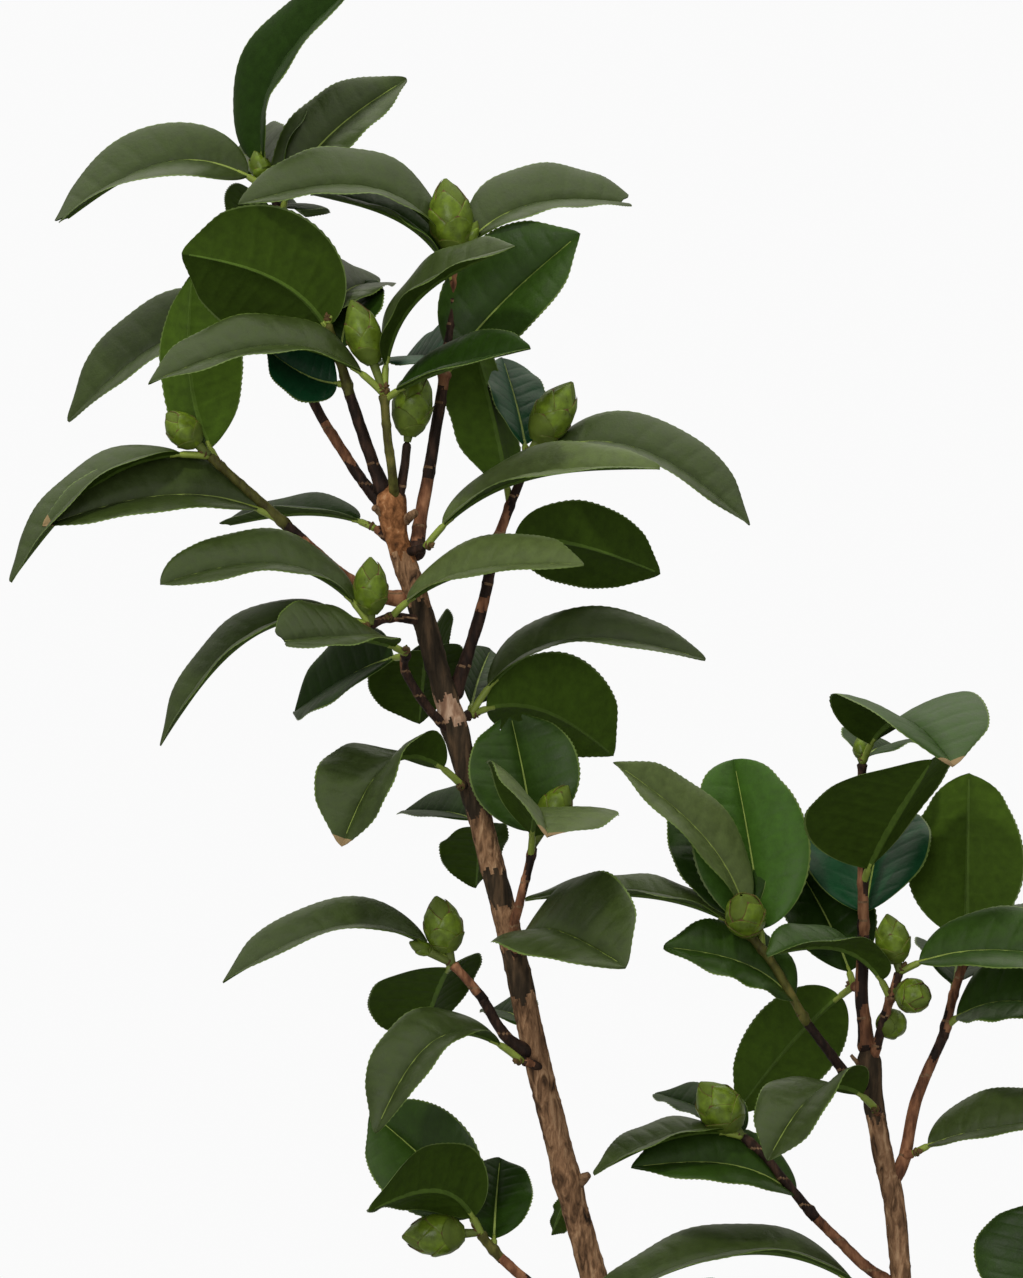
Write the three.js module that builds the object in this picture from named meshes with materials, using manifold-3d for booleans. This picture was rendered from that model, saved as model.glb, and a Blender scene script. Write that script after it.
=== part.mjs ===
// A young camellia shrub: two leaning stems that fork from one short trunk, with boughs, leafy sprays and fat
// flower buds. Lengths are in millimetres. +X is to the viewer's right, +Y away from the viewer and +Z up.
// The origin is the centre of the flat cut under the trunk, at ground level.
import * as THREE from "three";
import { mergeVertices } from "three/addons/utils/BufferGeometryUtils.js";
import Module from "manifold-3d";

const wasm = await Module();
wasm.setup();

// Clearance at a seat, and how finely each kind of piece is made
const SEAT_GAP = 0.35;
const STEM_SIDES = 10;
const BOUGH_SIDES = 7;
const TWIG_SIDES = 5;
const STEM_STEP = 22;
const BOUGH_STEP = 12;
const SIMPLIFY = 0.02;

// The trunk: [height, radius] from the ground to its fork, its root lobes, and the arms that carry the stems
const TRUNK_FLARE = [[0, 22], [4, 17.5], [11, 14.2], [22, 12.2], [38, 11], [52, 9.4]];
const TRUNK_SIDES = 20;
const ROOT_LOBES = 5;
const ROOT_LOBE_DEPTH = 0.17;
const ROOT_LOBE_HEIGHT = 18;
const FORK = [-1, 0, 40];
const TRUNK_ARMS = [
  { end: [-14.5, 0, 74], footRadius: 9.6, tipRadius: 7.7 },
  { end: [9, -0.5, 76], footRadius: 8.6, tipRadius: 6.6 },
];

// A leaf: its stalk, its blade's thickness and fold, and the places where its outline turns
const STALK_SHARE = 0.1;
const STALK_RADIUS = 1.05;
const LEAF_THICKNESS = 1.4;
const LEAF_TIP_RADIUS = 0.55;
const LEAF_FOLD = 15;
const LEAF_ROWS = [0, 0.12, 0.3, 0.5, 0.7, 0.88, 1];
const LEAF_SWEEP = new THREE.Vector3(0.35, -1, 0);
const LEAF_EARLY = 0.3;

// A flower bud as [place along it, share of its radius], and the stalk under it
const BUD_OUTLINE = [[0, 0.3], [0.1, 0.64], [0.27, 0.92], [0.48, 1], [0.7, 0.84], [0.88, 0.46], [1, 0.07]];
const BUD_SIDES = 7;
const BUD_STALK_RADIUS = 1.6;

// Limbs: the limb that carries each, its radius at foot and tip, and a few points of its centre line.
// A stem thins quickly near its foot and slowly after it, and a bough evenly.
const LIMBS = [
  { name: "left_stem", on: "trunk", radii: [7, 4.6], line: [[-12, 0, 68], [-47, 4, 130], [-78.5, 7, 205],
    [-102.4, 6, 280], [-121.2, 3, 351], [-139.6, 0, 431], [-159, -1, 503], [-173, -1, 551], [-182, 0, 579],
    [-184, 0, 597]] },
  { name: "right_stem", on: "trunk", radii: [6, 4], line: [[7.5, -0.5, 70], [19, -3, 130], [24, -4, 205],
    [20.4, -2, 280], [17.4, -1, 311], [13.8, 0, 327], [10, 1, 347], [7, 2, 373]] },
  { name: "bough_top_left", on: "left_stem", radii: [2.3, 1.8], line: [[-185, 1, 587], [-193, 4, 596],
    [-202, 7, 609], [-215, 10, 631], [-224, 12, 659], [-227.2, 14, 683]] },
  { name: "bough_top_middle", on: "left_stem", radii: [2.6, 2.2], line: [[-185.5, 1, 592], [-192, -1, 609],
    [-200, -5, 633]] },
  { name: "bough_top_right", on: "left_stem", radii: [2.8, 2.2], line: [[-174, 1, 567], [-172, 5, 583],
    [-169.5, 8, 597], [-166.5, 9.5, 615], [-163, 9, 637]] },
  { name: "bough_mid_left", on: "left_stem", radii: [2.6, 2.2], line: [[-176, -1, 551], [-187, -1, 552.5],
    [-201.5, -1, 560], [-225.5, -3, 581]] },
  { name: "bough_mid_right", on: "left_stem", radii: [2.6, 2.2], line: [[-159, 1, 511], [-153, 4, 529],
    [-147, 6, 549], [-142, 7, 573]] },
  { name: "bough_lower_left", on: "left_stem", radii: [2.3, 2], line: [[-127.5, 0, 369], [-137.5, -3, 376.5],
    [-147, -6, 392]] },
  { name: "bough_low_left", on: "left_stem", radii: [2.3, 2], line: [[-98, 4, 259], [-113, -1, 267.5],
    [-127, -6, 277.5], [-140, -8, 289]] },
  { name: "bough_right_top", on: "right_stem", radii: [2.8, 2.3], line: [[7, 2, 369], [6, 2, 380],
    [4.8, 2, 391], [5.4, 1, 417]] },
  { name: "bough_right_inner", on: "right_stem", radii: [2.1, 1.8], line: [[8, 1, 356], [0, -3, 360],
    [-9, -6, 371], [-18, -7, 383]] },
  { name: "bough_right_outer", on: "right_stem", radii: [2.5, 2.1], line: [[15, 0, 317], [20.8, 1, 325],
    [26.8, 3, 351], [38, 5, 377]] },
  { name: "bough_right_low", on: "right_stem", radii: [2.3, 2], line: [[20, -2, 275], [6, -4, 285],
    [-5, -5, 295.5], [-15, -6, 305.5]] },
  { name: "bough_foot_right", on: "right_stem", radii: [2.3, 2], line: [[22, -3, 250], [38, 2, 261],
    [54, 4, 271]] },
  { name: "bough_foot_left", on: "left_stem", radii: [2.4, 2], line: [[-64, 6, 168], [-80, -8, 178],
    [-98, -20, 190]] },
  { name: "bough_foot_back", on: "left_stem", radii: [2.4, 2], line: [[-81, 7, 214], [-72, 22, 224],
    [-62, 38, 234]] },
  { name: "bough_foot_front", on: "right_stem", radii: [2.4, 2], line: [[20, -3, 150], [8, -18, 166],
    [-4, -34, 182]] },
  { name: "bough_foot_rear", on: "right_stem", radii: [2.4, 2], line: [[20.5, -3, 164], [34, 14, 178],
    [44, 32, 192]] },
];

// Knots that swell a limb: [limb, height, added radius, half length]
const KNOTS = [
  ["left_stem", 591, 1.5, 9], ["left_stem", 502, 0.9, 6], ["left_stem", 318, 0.9, 6],
  ["right_stem", 366, 0.9, 7],
];

// Sprays: the limb that carries each, and its twig's centre line. A leaf is [place along the twig from 0 to 1, tip,
// arch, roll, width, twist, sway]: its midrib bows above the straight line to its tip by its arch, and sideways by
// its sway. Its roll in degrees turns its upper face towards the viewer, or its underside where the roll is
// negative, and grows by its twist from foot to tip. A bud is [place, tip, length, width].
const SPRAYS = [
  { name: "spray_top_left", on: "bough_top_left",
    twig: [[-227.2, 14, 683], [-229.6, 15.5, 705], [-231.2, 16.5, 715], [-235.2, 18, 721]],
    leaves: [[0.85, [-199, 3, 796.5], 18.5, 50, 43], [0.8, [-320.5, 6, 698.5], 20.5, 34, 42, -50],
      [0.95, [-250, 68, 735], 5, -30, 36], [0.8, [-213, 58, 748], 6, -40, 32],
      [0.5, [-178, 40, 763], 9, 44, 31], [0.6, [-246, 53, 699], 5, -30, 30], [0.6, [-220, 62, 709], 5, 30, 32]],
    buds: [[1, [-239, 17, 732], 12, 9]] },
  { name: "leaf_top_left", on: "bough_top_left", twig: [[-222.5, 13, 661], [-226, 25, 661]],
    leaves: [[1, [-316, 44, 624], 16, 42, 43]], buds: [] },
  { name: "spray_top_right", on: "bough_top_right",
    twig: [[-163, 9, 637], [-162, 9, 645], [-159.5, 8, 663], [-157.5, 7, 688]],
    leaves: [[1, [-244, -14, 708], 20, 35, 38], [0.8, [-216, 8, 714], 11, 20, 34],
      [1, [-84, 26, 711], 13, 31, 41], [0.08, [-108, -8, 697], 4, 75, 47], [0.1, [-181, 58, 648], 6, 30, 38]],
    buds: [[1, [-162, 5, 720], 30, 18.4], [0.9, [-149, 4, 703], 11, 6], [0.9, [-138, 22, 695], 11, 6]] },
  { name: "spray_top_middle", on: "bough_top_middle",
    twig: [[-200, -5, 633], [-204, -7, 647], [-208.8, -9, 661]],
    leaves: [[0.65, [-266, -24, 688], 11, -70, 56], [1, [-186, 36, 679], 8, 25, 28],
      [0.5, [-198, 28, 681], 3, 0, 34], [0.15, [-233, -12, 651], -3, 60, 36]],
    buds: [] },
  { name: "spray_crown", on: "left_stem",
    twig: [[-182, -2, 591], [-183, -9, 602], [-185, -12, 618], [-186, -15, 633]],
    leaves: [[1, [-278, -44, 635.5], 18, 30, 34], [1, [-134, -39, 690], 17, 28, 36],
      [0.95, [-128, -54, 649], 4, 32, 32]],
    buds: [[1, [-199, -18, 670], 27, 14.5]] },
  { name: "bud_crown", on: "left_stem", twig: [[-180.5, -1, 591], [-178, -4, 605], [-177, -5, 614]],
    leaves: [],
    buds: [[1, [-172.8, -6, 644], 28, 16.5]] },
  { name: "spray_mid_right", on: "bough_mid_right",
    twig: [[-142, 7, 573], [-136, 8, 589], [-132, 8, 599], [-129.2, 8, 608]],
    leaves: [[0.45, [-154, 30, 664], 2, 180, 36], [1, [-139, 53, 650], 4, 10, 26],
      [1, [-40, 2, 581], 17, 30, 38], [0.05, [-75, 37, 562], 5, -65, 38]],
    buds: [[1, [-111, 6, 638.5], 28, 17]] },
  { name: "leaf_crown_right", on: "left_stem", twig: [[-177, -2, 570], [-170, -8, 572]],
    leaves: [[1, [-77, -38, 602.5], 14, 25, 34]], buds: [] },
  { name: "spray_mid_left", on: "bough_mid_left", twig: [[-225.5, -3, 581], [-241, -5, 595], [-256, -7, 608.5]],
    leaves: [[1, [-334, -22, 558], 15.5, 14, 32], [0.05, [-321, -25, 580], 12, 40, 38],
      [0.85, [-263, 1, 681], -8, -100, 38]],
    buds: [[1, [-273, -8, 625.5], 18, 13.4]] },
  { name: "leaf_crown_left", on: "left_stem", twig: [[-181, 1, 573], [-190, 4, 580]],
    leaves: [[1, [-255, 28, 580.5], 6.5, 12, 30]], buds: [] },
  { name: "spray_left", on: "left_stem", twig: [[-172, -2, 543], [-184, -12, 544], [-191.2, -18, 541]],
    leaves: [[1, [-274, -33, 557], 17.5, 30, 35, 20], [1, [-275, -16, 493], 20.5, 22, 31],
      [0.6, [-107, -46, 564.5], 10, 32, 33]],
    buds: [[1, [-191.4, -18, 568], 23, 14]] },
  { name: "spray_under_left", on: "left_stem",
    twig: [[-160, -2, 498], [-171, -9, 511], [-178, -15, 524], [-177, -22, 530]],
    leaves: [[1, [-228, -68, 534], 5, 24, 38, 30], [0.95, [-223, 28, 506], 4, 55, 41]], buds: [] },
  { name: "spray_behind_mid", on: "left_stem", twig: [[-168, 1, 531], [-169, 10, 533]],
    leaves: [[1, [-163, 46, 526], 5, -50, 28], [1, [-173, 38, 501], 3, -15, 44]], buds: [] },
  { name: "spray_right", on: "left_stem", twig: [[-160, 0, 502], [-155, 3, 504], [-152, 5, 505]],
    leaves: [[1, [-57.5, 10, 527], 21, 27, 32, 20], [1, [-94, 36, 488], 10, -60, 44],
      [1, [-144, 55, 531], 3, 30, 20]],
    buds: [] },
  { name: "leaf_front", on: "left_stem", twig: [[-154, -1, 477], [-155, -10, 477]],
    leaves: [[1, [-202, -46, 454], 23, 2, 43, 80]], buds: [] },
  { name: "spray_front", on: "left_stem",
    twig: [[-136, -1, 416], [-132, -8, 431], [-128, -9, 447], [-126.8, -8, 453]],
    leaves: [[1, [-136, 4, 506], 2, 33, 46], [0.9, [-121, -78, 459], 16, 22, 58]],
    buds: [[1, [-112.8, -10, 477], 20, 13.6]] },
  { name: "spray_behind_low", on: "left_stem", twig: [[-147, 1, 460], [-147, 10, 461]],
    leaves: [[1, [-179, 54, 465], 3, 24, 30], [1, [-150, 50, 434], 3, -14, 30]], buds: [] },
  { name: "leaf_low_front", on: "left_stem", twig: [[-134, 0, 408], [-133.5, -9, 413]],
    leaves: [[1, [-91, -70, 408], 11, 32, 56, 0, 6]], buds: [] },
  { name: "spray_lower_left", on: "bough_lower_left",
    twig: [[-147, -6, 392], [-153.5, -8, 400], [-159, -9, 406]],
    leaves: [[1, [-250, -18, 399], 19, 24, 30], [1, [-173, 36, 371], 4, -14, 52]],
    buds: [[1, [-165.5, -10, 433], 23, 16], [1, [-176, -12, 415], 10, 6]] },
  { name: "leaf_stem_left", on: "left_stem", twig: [[-123, 0, 364], [-131, -6, 367]],
    leaves: [[1, [-189, -38, 341], 24, 20, 34, 16]], buds: [] },
  { name: "leaf_stem_back", on: "left_stem", twig: [[-127, 1, 377], [-127, 10, 378]],
    leaves: [[1, [-144, 54, 384], 3, 20, 22]], buds: [] },
  { name: "spray_low_left", on: "bough_low_left", twig: [[-140, -8, 289], [-144, -9, 293.5], [-148, -10, 299]],
    leaves: [[1, [-192, 20, 344], 4, 65, 43], [0.9, [-191, -55, 312], 14, -42, 44],
      [0.3, [-140, 20, 326], 3, 10, 28]],
    buds: [[1, [-179, -13, 297.5], 25, 17]] },
  { name: "leaf_stem_rear", on: "left_stem", twig: [[-110, 2, 312], [-112, 11, 313]],
    leaves: [[1, [-119, 32, 294], 0, 62, 12]], buds: [] },
  { name: "leaf_low_right", on: "right_stem", twig: [[19, -2, 267], [13, -8, 269]],
    leaves: [[1, [-111, -34, 267.5], 24.5, 14, 37]], buds: [] },
  { name: "spray_right_inner", on: "bough_right_inner",
    twig: [[-18, -7, 383], [-32, -9, 407], [-40.8, -10, 418]],
    leaves: [[1, [-95, -22, 486.5], 10.5, 50, 30], [0.8, [-46, 14, 487], 3, 20, 49],
      [1, [-66, 25, 469], 3, 30, 37], [1, [-130, -10, 431.5], 9.5, 14, 27], [0.05, [-75, -16, 413], 9, 45, 34]],
    buds: [[1, [-44.5, -26, 434], 22, 16.5]] },
  { name: "spray_right_buds", on: "right_stem",
    twig: [[9.5, 0, 368], [14, -8, 387], [17.2, -11, 397], [19, -12, 403]],
    leaves: [[0.7, [-35, -42, 411], 13, 8, 36], [1, [96, -42, 407], 8, 38, 38]],
    buds: [[1, [14, -13, 426], 20, 14], [0.8, [30, -24, 392], 16, 14], [0.4, [22, 3, 381.5], 14, 12]] },
  { name: "leaf_right_front", on: "right_stem", twig: [[11, 0, 346], [10, -9, 348]],
    leaves: [[1, [-35, -50, 331], 18, -2, 37, 70]], buds: [] },
  { name: "spray_right_back", on: "bough_right_top", twig: [[5, 3, 395], [2, 10, 396]],
    leaves: [[1, [-43.5, 42, 343], 3, -65, 38], [1, [-21, 37, 446], 3, 30, 38]], buds: [] },
  { name: "spray_right_low", on: "bough_right_low",
    twig: [[-15, -6, 305.5], [-27, -9, 320], [-35, -10, 330], [-43.5, -10, 337.5]],
    leaves: [[1, [-103, -30, 324], 7, 10, 25], [0.05, [-88, -23, 326], 11, 42, 34],
      [0.9, [-77, 35, 351], 4, 15, 28]],
    buds: [[1, [-60.4, -12, 359], 24, 18.5]] },
  { name: "leaf_right_outer", on: "bough_right_outer", twig: [[21.2, 1.5, 328], [25, -3, 330]],
    leaves: [[1, [87, -22, 345.5], 4, 28, 38]], buds: [] },
  { name: "spray_right_outer", on: "bough_right_outer", twig: [[38, 5, 377], [42.5, 6, 395], [47, 6, 408]],
    leaves: [[0.1, [84, -26, 389.5], 7, 40, 40], [1, [50, 31, 481], 3, 180, 49],
      [0.9, [104, 34, 418], 5, 20, 36], [0.5, [50, 75, 400], 8, 10, 38]],
    buds: [] },
  { name: "spray_right_top", on: "bough_right_top",
    twig: [[5.4, 1, 417], [5.2, 0, 431], [4.4, -1, 471], [4.8, -2, 486]],
    leaves: [[0.3, [29, -51, 488], 4, 15, 75], [0.05, [17, 47, 466], 3, 0, 54], [1, [37, -62, 486], 18, 0, 63],
      [1, [20, 42, 492], 3, 10, 32]],
    buds: [[1, [4, 1, 497], 10, 7]] },
  { name: "spray_foot_right", on: "bough_foot_right", twig: [[54, 4, 271], [66, 4, 268], [76, 3, 264]],
    leaves: [[1, [79, 8, 310], 4, 0, 51], [1, [120, -20, 278], 8, 30, 38], [1, [114, 45, 260], 8, 10, 38],
      [0.3, [62, -52, 248], 8, 0, 38]],
    buds: [[1, [93, -2, 280], 20, 14]] },
  { name: "spray_foot_left", on: "bough_foot_left", twig: [[-98, -20, 190], [-110, -25, 199], [-118, -28, 206]],
    leaves: [[1, [-195, -40, 215], 16, 30, 40], [0.9, [-120, -95, 225], 12, 0, 40],
      [1, [-150, 25, 240], 8, 40, 38], [0.3, [-70, -75, 215], 10, 10, 38]],
    buds: [[1, [-124, -34, 230], 24, 15]] },
  { name: "spray_foot_back", on: "bough_foot_back", twig: [[-62, 38, 234], [-56, 46, 240], [-52, 52, 246]],
    leaves: [[1, [-20, 110, 250], 8, 20, 40], [1, [-110, 95, 252], 8, 20, 40], [0.6, [15, 60, 236], 10, 40, 38],
      [0.9, [-70, 92, 258], 4, 40, 38]],
    buds: [] },
  { name: "spray_foot_front", on: "bough_foot_front", twig: [[-4, -34, 182], [-9, -43, 191], [-12, -50, 199]],
    leaves: [[1, [-60, -105, 205], 14, 10, 40], [1, [55, -80, 215], 14, 30, 38],
      [0.8, [-45, -20, 245], 6, 60, 40]],
    buds: [[1, [-14, -62, 222], 24, 16]] },
  { name: "spray_foot_rear", on: "bough_foot_rear", twig: [[44, 32, 192], [50, 42, 201], [54, 50, 210]],
    leaves: [[1, [110, 90, 225], 12, 20, 40], [1, [20, 120, 225], 12, 20, 40],
      [0.7, [115, 15, 205], 14, 30, 38], [1, [60, 70, 270], 5, 40, 38]],
    buds: [] },
];

const radians = THREE.MathUtils.degToRad;
const vector = (point) => new THREE.Vector3(...point);
const curveThrough = (points) => new THREE.CatmullRomCurve3(points.map(vector), false, "centripetal");
const largest = (solid) => solid.decompose().reduce((a, b) => (b.volume() > a.volume() ? b : a));

// A geometry as a manifold-3d solid: vertices merged, and the faces that collapse at a pole dropped.
function solidOf(geometry) {
  geometry.deleteAttribute("normal");
  geometry.deleteAttribute("uv");
  const merged = mergeVertices(geometry, 1e-3);
  const corners = merged.index.array;
  const kept = [];
  for (let i = 0; i < corners.length; i += 3) {
    const [a, b, c] = corners.slice(i, i + 3);
    if (a !== b && b !== c && c !== a) kept.push(a, b, c);
  }
  return new wasm.Manifold(new wasm.Mesh({
    numProp: 3,
    vertProperties: merged.attributes.position.array,
    triVerts: new Uint32Array(kept),
  }));
}

function geometryOf(solid) {
  const mesh = solid.getMesh();
  const geometry = new THREE.BufferGeometry();
  geometry.setAttribute("position", new THREE.BufferAttribute(mesh.vertProperties, 3));
  geometry.setIndex(new THREE.BufferAttribute(mesh.triVerts, 1));
  geometry.computeVertexNormals();
  return geometry;
}

// A closed solid made of rings. put(i, angle, rim) gives a point of ring i, and rim is 0 for the ring's centre.
// A flat solid has its triangles' diagonals alike above and below, so that a twist doesn't make its sides meet.
function ringed(count, sides, put, flat = false) {
  const profile = [new THREE.Vector2(0, 0)];
  for (let i = 0; i < count; i++) profile.push(new THREE.Vector2(1, i));
  profile.push(new THREE.Vector2(0, count - 1));
  const lathe = new THREE.LatheGeometry(profile, sides);
  const position = lathe.getAttribute("position");
  const v = new THREE.Vector3();
  for (let i = 0; i < position.count; i++) {
    v.fromBufferAttribute(position, i);
    const rim = Math.hypot(v.x, v.z) > 0.5 ? 1 : 0;
    position.setXYZ(i, ...put(Math.round(v.y), Math.atan2(v.z, v.x), rim).toArray());
  }
  const index = lathe.getIndex().array;
  for (let i = 0; flat && i < index.length; i += 6) {
    if (Math.floor(i / 6 / (count + 1)) % 2 === 0) continue;
    const [a, b, d, c] = index.slice(i, i + 4);
    index.set([a, b, c, a, c, d], i);
  }
  return solidOf(lathe);
}

// A round limb along a curve, where radiusAt(t, point) gives its radius. The extra radius and length make the space
// that its neighbours keep clear of.
function limb(points, radiusAt, sides, step, extra = 0) {
  const curve = curveThrough(points);
  const rings = Math.max(2, Math.round(curve.getLength() / step));
  const frames = curve.computeFrenetFrames(rings);
  return ringed(rings + 1, sides, (i, angle, rim) => {
    const point = curve.getPointAt(i / rings);
    const radius = (radiusAt(i / rings, point) + extra) * rim;
    const over = i === 0 ? -extra : i === rings ? extra : 0;
    return point
      .addScaledVector(frames.tangents[i], over)
      .addScaledVector(frames.normals[i], Math.cos(angle) * radius)
      .addScaledVector(frames.binormals[i], -Math.sin(angle) * radius);
  });
}

// The radius of a named limb along its length, with its knots.
function taperOf({ name, on, radii: [foot, tip] }) {
  const fall = on === "trunk" ? 2 : 1;
  return (t, point) => KNOTS
    .filter(([limbName]) => limbName === name)
    .reduce((radius, [, height, gain, half]) => radius + gain * Math.exp(-(((point.z - height) / half) ** 2)),
      tip + (foot - tip) * (1 - t) ** fall);
}

// The share of a leaf's half width at u along its blade: wedge-shaped foot, broad middle and drawn-out tip.
function bladeShare(u) {
  const round = Math.max(0, 4 * u * (1 - u)) ** 0.62;
  return round * (1.08 - 0.16 * u) * (1 - 0.35 * THREE.MathUtils.smoothstep(u, 0.8, 1));
}

// One leaf: a stalk that opens into a blade, folded along its midrib, with sharp edges.
function leafSolid(base, [, tipPoint, arch, roll, width, twist = 0, sway = 0]) {
  const reach = vector(tipPoint).sub(base);
  const up = new THREE.Vector3(0, 0, 1).projectOnPlane(reach.clone().normalize()).normalize();
  const facing = new THREE.Vector3().crossVectors(reach, up).normalize();
  const hand = facing.dot(LEAF_SWEEP) < 0 ? -1 : 1;
  facing.multiplyScalar(hand);
  const bow = up.clone().multiplyScalar(arch).addScaledVector(facing, sway);
  const stations = [0, ...LEAF_ROWS.map((u) => STALK_SHARE + u * (1 - STALK_SHARE))];
  const fold = radians(LEAF_FOLD);
  return ringed(stations.length, 4, (i, angle, rim) => {
    const s = stations[i];
    const u = i === 0 ? 0 : LEAF_ROWS[i - 1];
    const onBlade = u > 0 && u < 1;
    const q = s * (1 + LEAF_EARLY * (1 - s));
    const point = base.clone().addScaledVector(reach, s).addScaledVector(bow, 4 * q * (1 - q));
    const along = reach.clone().addScaledVector(bow, 4 * (1 - 2 * q) * (1 + LEAF_EARLY * (1 - 2 * s)))
      .normalize();
    const turn = radians(roll + twist * (s - 0.5));
    const lifted = up.clone().projectOnPlane(along).normalize();
    const normal = lifted.clone().multiplyScalar(Math.cos(turn))
      .addScaledVector(along.clone().cross(lifted), hand * Math.sin(turn));
    const side = new THREE.Vector3().crossVectors(along, normal);
    const endRadius = u === 1 ? LEAF_TIP_RADIUS : STALK_RADIUS;
    const across = Math.cos(angle) * rim * (onBlade ? (width / 2) * bladeShare(u) : endRadius);
    const thick = Math.sin(angle) * rim * (onBlade ? LEAF_THICKNESS / 2 : endRadius);
    const lift = onBlade ? Math.abs(across) * Math.sin(fold) : 0;
    return point
      .addScaledVector(side, onBlade ? across * Math.cos(fold) : across)
      .addScaledVector(normal, lift + thick);
  }, true);
}

// One flower bud on its stalk: a pointed egg that ends at its tip point.
function budSolid(base, [, tipPoint, length, width]) {
  const axis = vector(tipPoint).sub(base);
  const stalk = Math.max(0, axis.length() - length);
  const turn = new THREE.Quaternion().setFromUnitVectors(new THREE.Vector3(0, 1, 0), axis.clone().normalize());
  const rows = [[0, BUD_STALK_RADIUS], ...BUD_OUTLINE.map(([t, share]) => [stalk + 0.4 + t * (length - 0.4),
    Math.max(share * (width / 2), 0.5)])];
  return ringed(rows.length, BUD_SIDES, (i, angle, rim) => {
    const [along, radius] = rows[i];
    return new THREE.Vector3(Math.cos(angle) * radius * rim, along, Math.sin(angle) * radius * rim)
      .applyQuaternion(turn).add(base);
  });
}

// The trunk: a flared column with root lobes at the ground, and an arm for each stem.
function trunkSolid(extra = 0) {
  const column = ringed(TRUNK_FLARE.length, TRUNK_SIDES, (i, angle, rim) => {
    const [height, radius] = TRUNK_FLARE[i];
    const lobe = 1 + ROOT_LOBE_DEPTH * Math.cos(ROOT_LOBES * angle) * Math.max(0, 1 - height / ROOT_LOBE_HEIGHT);
    const reach = (radius * lobe + extra) * rim;
    return new THREE.Vector3(Math.cos(angle) * reach, -Math.sin(angle) * reach, height);
  });
  return TRUNK_ARMS.reduce((whole, { end, footRadius, tipRadius }) => whole.add(
    limb([FORK, end], (t) => THREE.MathUtils.lerp(footRadius, tipRadius, t), STEM_SIDES, STEM_STEP / 2, extra)),
  column);
}

const bark = new THREE.MeshStandardMaterial({ color: 0x7a5f47, roughness: 0.85, metalness: 0 });
const twigBark = new THREE.MeshStandardMaterial({ color: 0x4a342b, roughness: 0.7, metalness: 0 });
const foliage = new THREE.MeshStandardMaterial({ color: 0x2f4d22, roughness: 0.4, metalness: 0 });

const shrub = new THREE.Group();
const spaces = new Map([["trunk", trunkSolid(SEAT_GAP)]]);

function add(name, solid, material) {
  const mesh = new THREE.Mesh(geometryOf(solid), material);
  mesh.name = name;
  shrub.add(mesh);
}

add("trunk", trunkSolid(), bark);
for (const row of LIMBS) {
  const isStem = row.on === "trunk";
  const shape = [row.line, taperOf(row), isStem ? STEM_SIDES : BOUGH_SIDES, isStem ? STEM_STEP : BOUGH_STEP];
  spaces.set(row.name, limb(...shape, SEAT_GAP));
  add(row.name, largest(limb(...shape).subtract(spaces.get(row.on))), isStem ? bark : twigBark);
}

for (const { name, on, twig, leaves, buds } of SPRAYS) {
  const curve = curveThrough(twig);
  let mass = limb(twig, (t) => THREE.MathUtils.lerp(2, 1.7, t), TWIG_SIDES, BOUGH_STEP);
  for (const leaf of leaves) mass = mass.add(leafSolid(curve.getPointAt(leaf[0]), leaf));
  for (const bud of buds) mass = mass.add(budSolid(curve.getPointAt(bud[0]), bud));
  add(name, largest(mass.subtract(spaces.get(on))).simplify(SIMPLIFY), foliage);
}

export default shrub;
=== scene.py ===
import math

import bpy
import numpy as np
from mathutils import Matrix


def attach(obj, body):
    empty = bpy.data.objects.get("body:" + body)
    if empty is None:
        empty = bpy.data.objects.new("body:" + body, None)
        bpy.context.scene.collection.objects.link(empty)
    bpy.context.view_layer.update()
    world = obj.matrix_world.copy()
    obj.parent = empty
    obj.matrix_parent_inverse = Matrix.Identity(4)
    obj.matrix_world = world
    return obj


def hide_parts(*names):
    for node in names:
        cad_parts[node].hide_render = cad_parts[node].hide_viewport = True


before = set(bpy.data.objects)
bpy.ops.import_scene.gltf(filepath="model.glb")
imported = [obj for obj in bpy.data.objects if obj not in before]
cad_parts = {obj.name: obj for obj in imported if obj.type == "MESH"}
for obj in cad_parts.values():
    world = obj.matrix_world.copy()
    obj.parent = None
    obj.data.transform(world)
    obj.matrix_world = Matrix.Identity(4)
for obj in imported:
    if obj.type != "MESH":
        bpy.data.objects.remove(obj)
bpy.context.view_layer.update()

MM = 0.001
RNG = np.random.default_rng(20)
ANY_TURN = (0, 6.28)  # the range of a random turn

# The picture: its scale, its height in pixels, its centre, and the camera's distance and sensor
PIXEL_MM = 0.4
PICTURE_HEIGHT = 1278
VIEW_CENTRE = (-135.4, 535.4)
EYE_DISTANCE = 2400
SENSOR = 36

# Factors of the noise, and steps of a curve from each of its points to the next
HASH_STEPS = (73856093, 19349663, 83492791)
HASH_SEED, HASH_MIX = 2654435761, 1274126177
CURVE_STEPS = 60

# The trunk: heights and radii of its flare, its root lobes, its fork, and the top and two radii of each arm
TRUNK_FLARE = [(0, 22), (4, 17.5), (11, 14.2), (22, 12.2), (38, 11), (50, 9.6), (55, 7.8), (58, 5), (59, 1.5)]
TRUNK_SIDES, TRUNK_VOXEL = 96, 0.8
ROOT_LOBES, ROOT_LOBE_DEPTH, ROOT_LOBE_HEIGHT = 5, 0.17, 18
FORK = (-1, 0, 40)
TRUNK_ARMS = [((-14.5, 0, 74), 9.6, 7.4), ((9, -0.5, 76), 8.6, 6.4)]
ARM_INSET = 1.6  # how much thinner an arm ends, inside its stem

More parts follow.
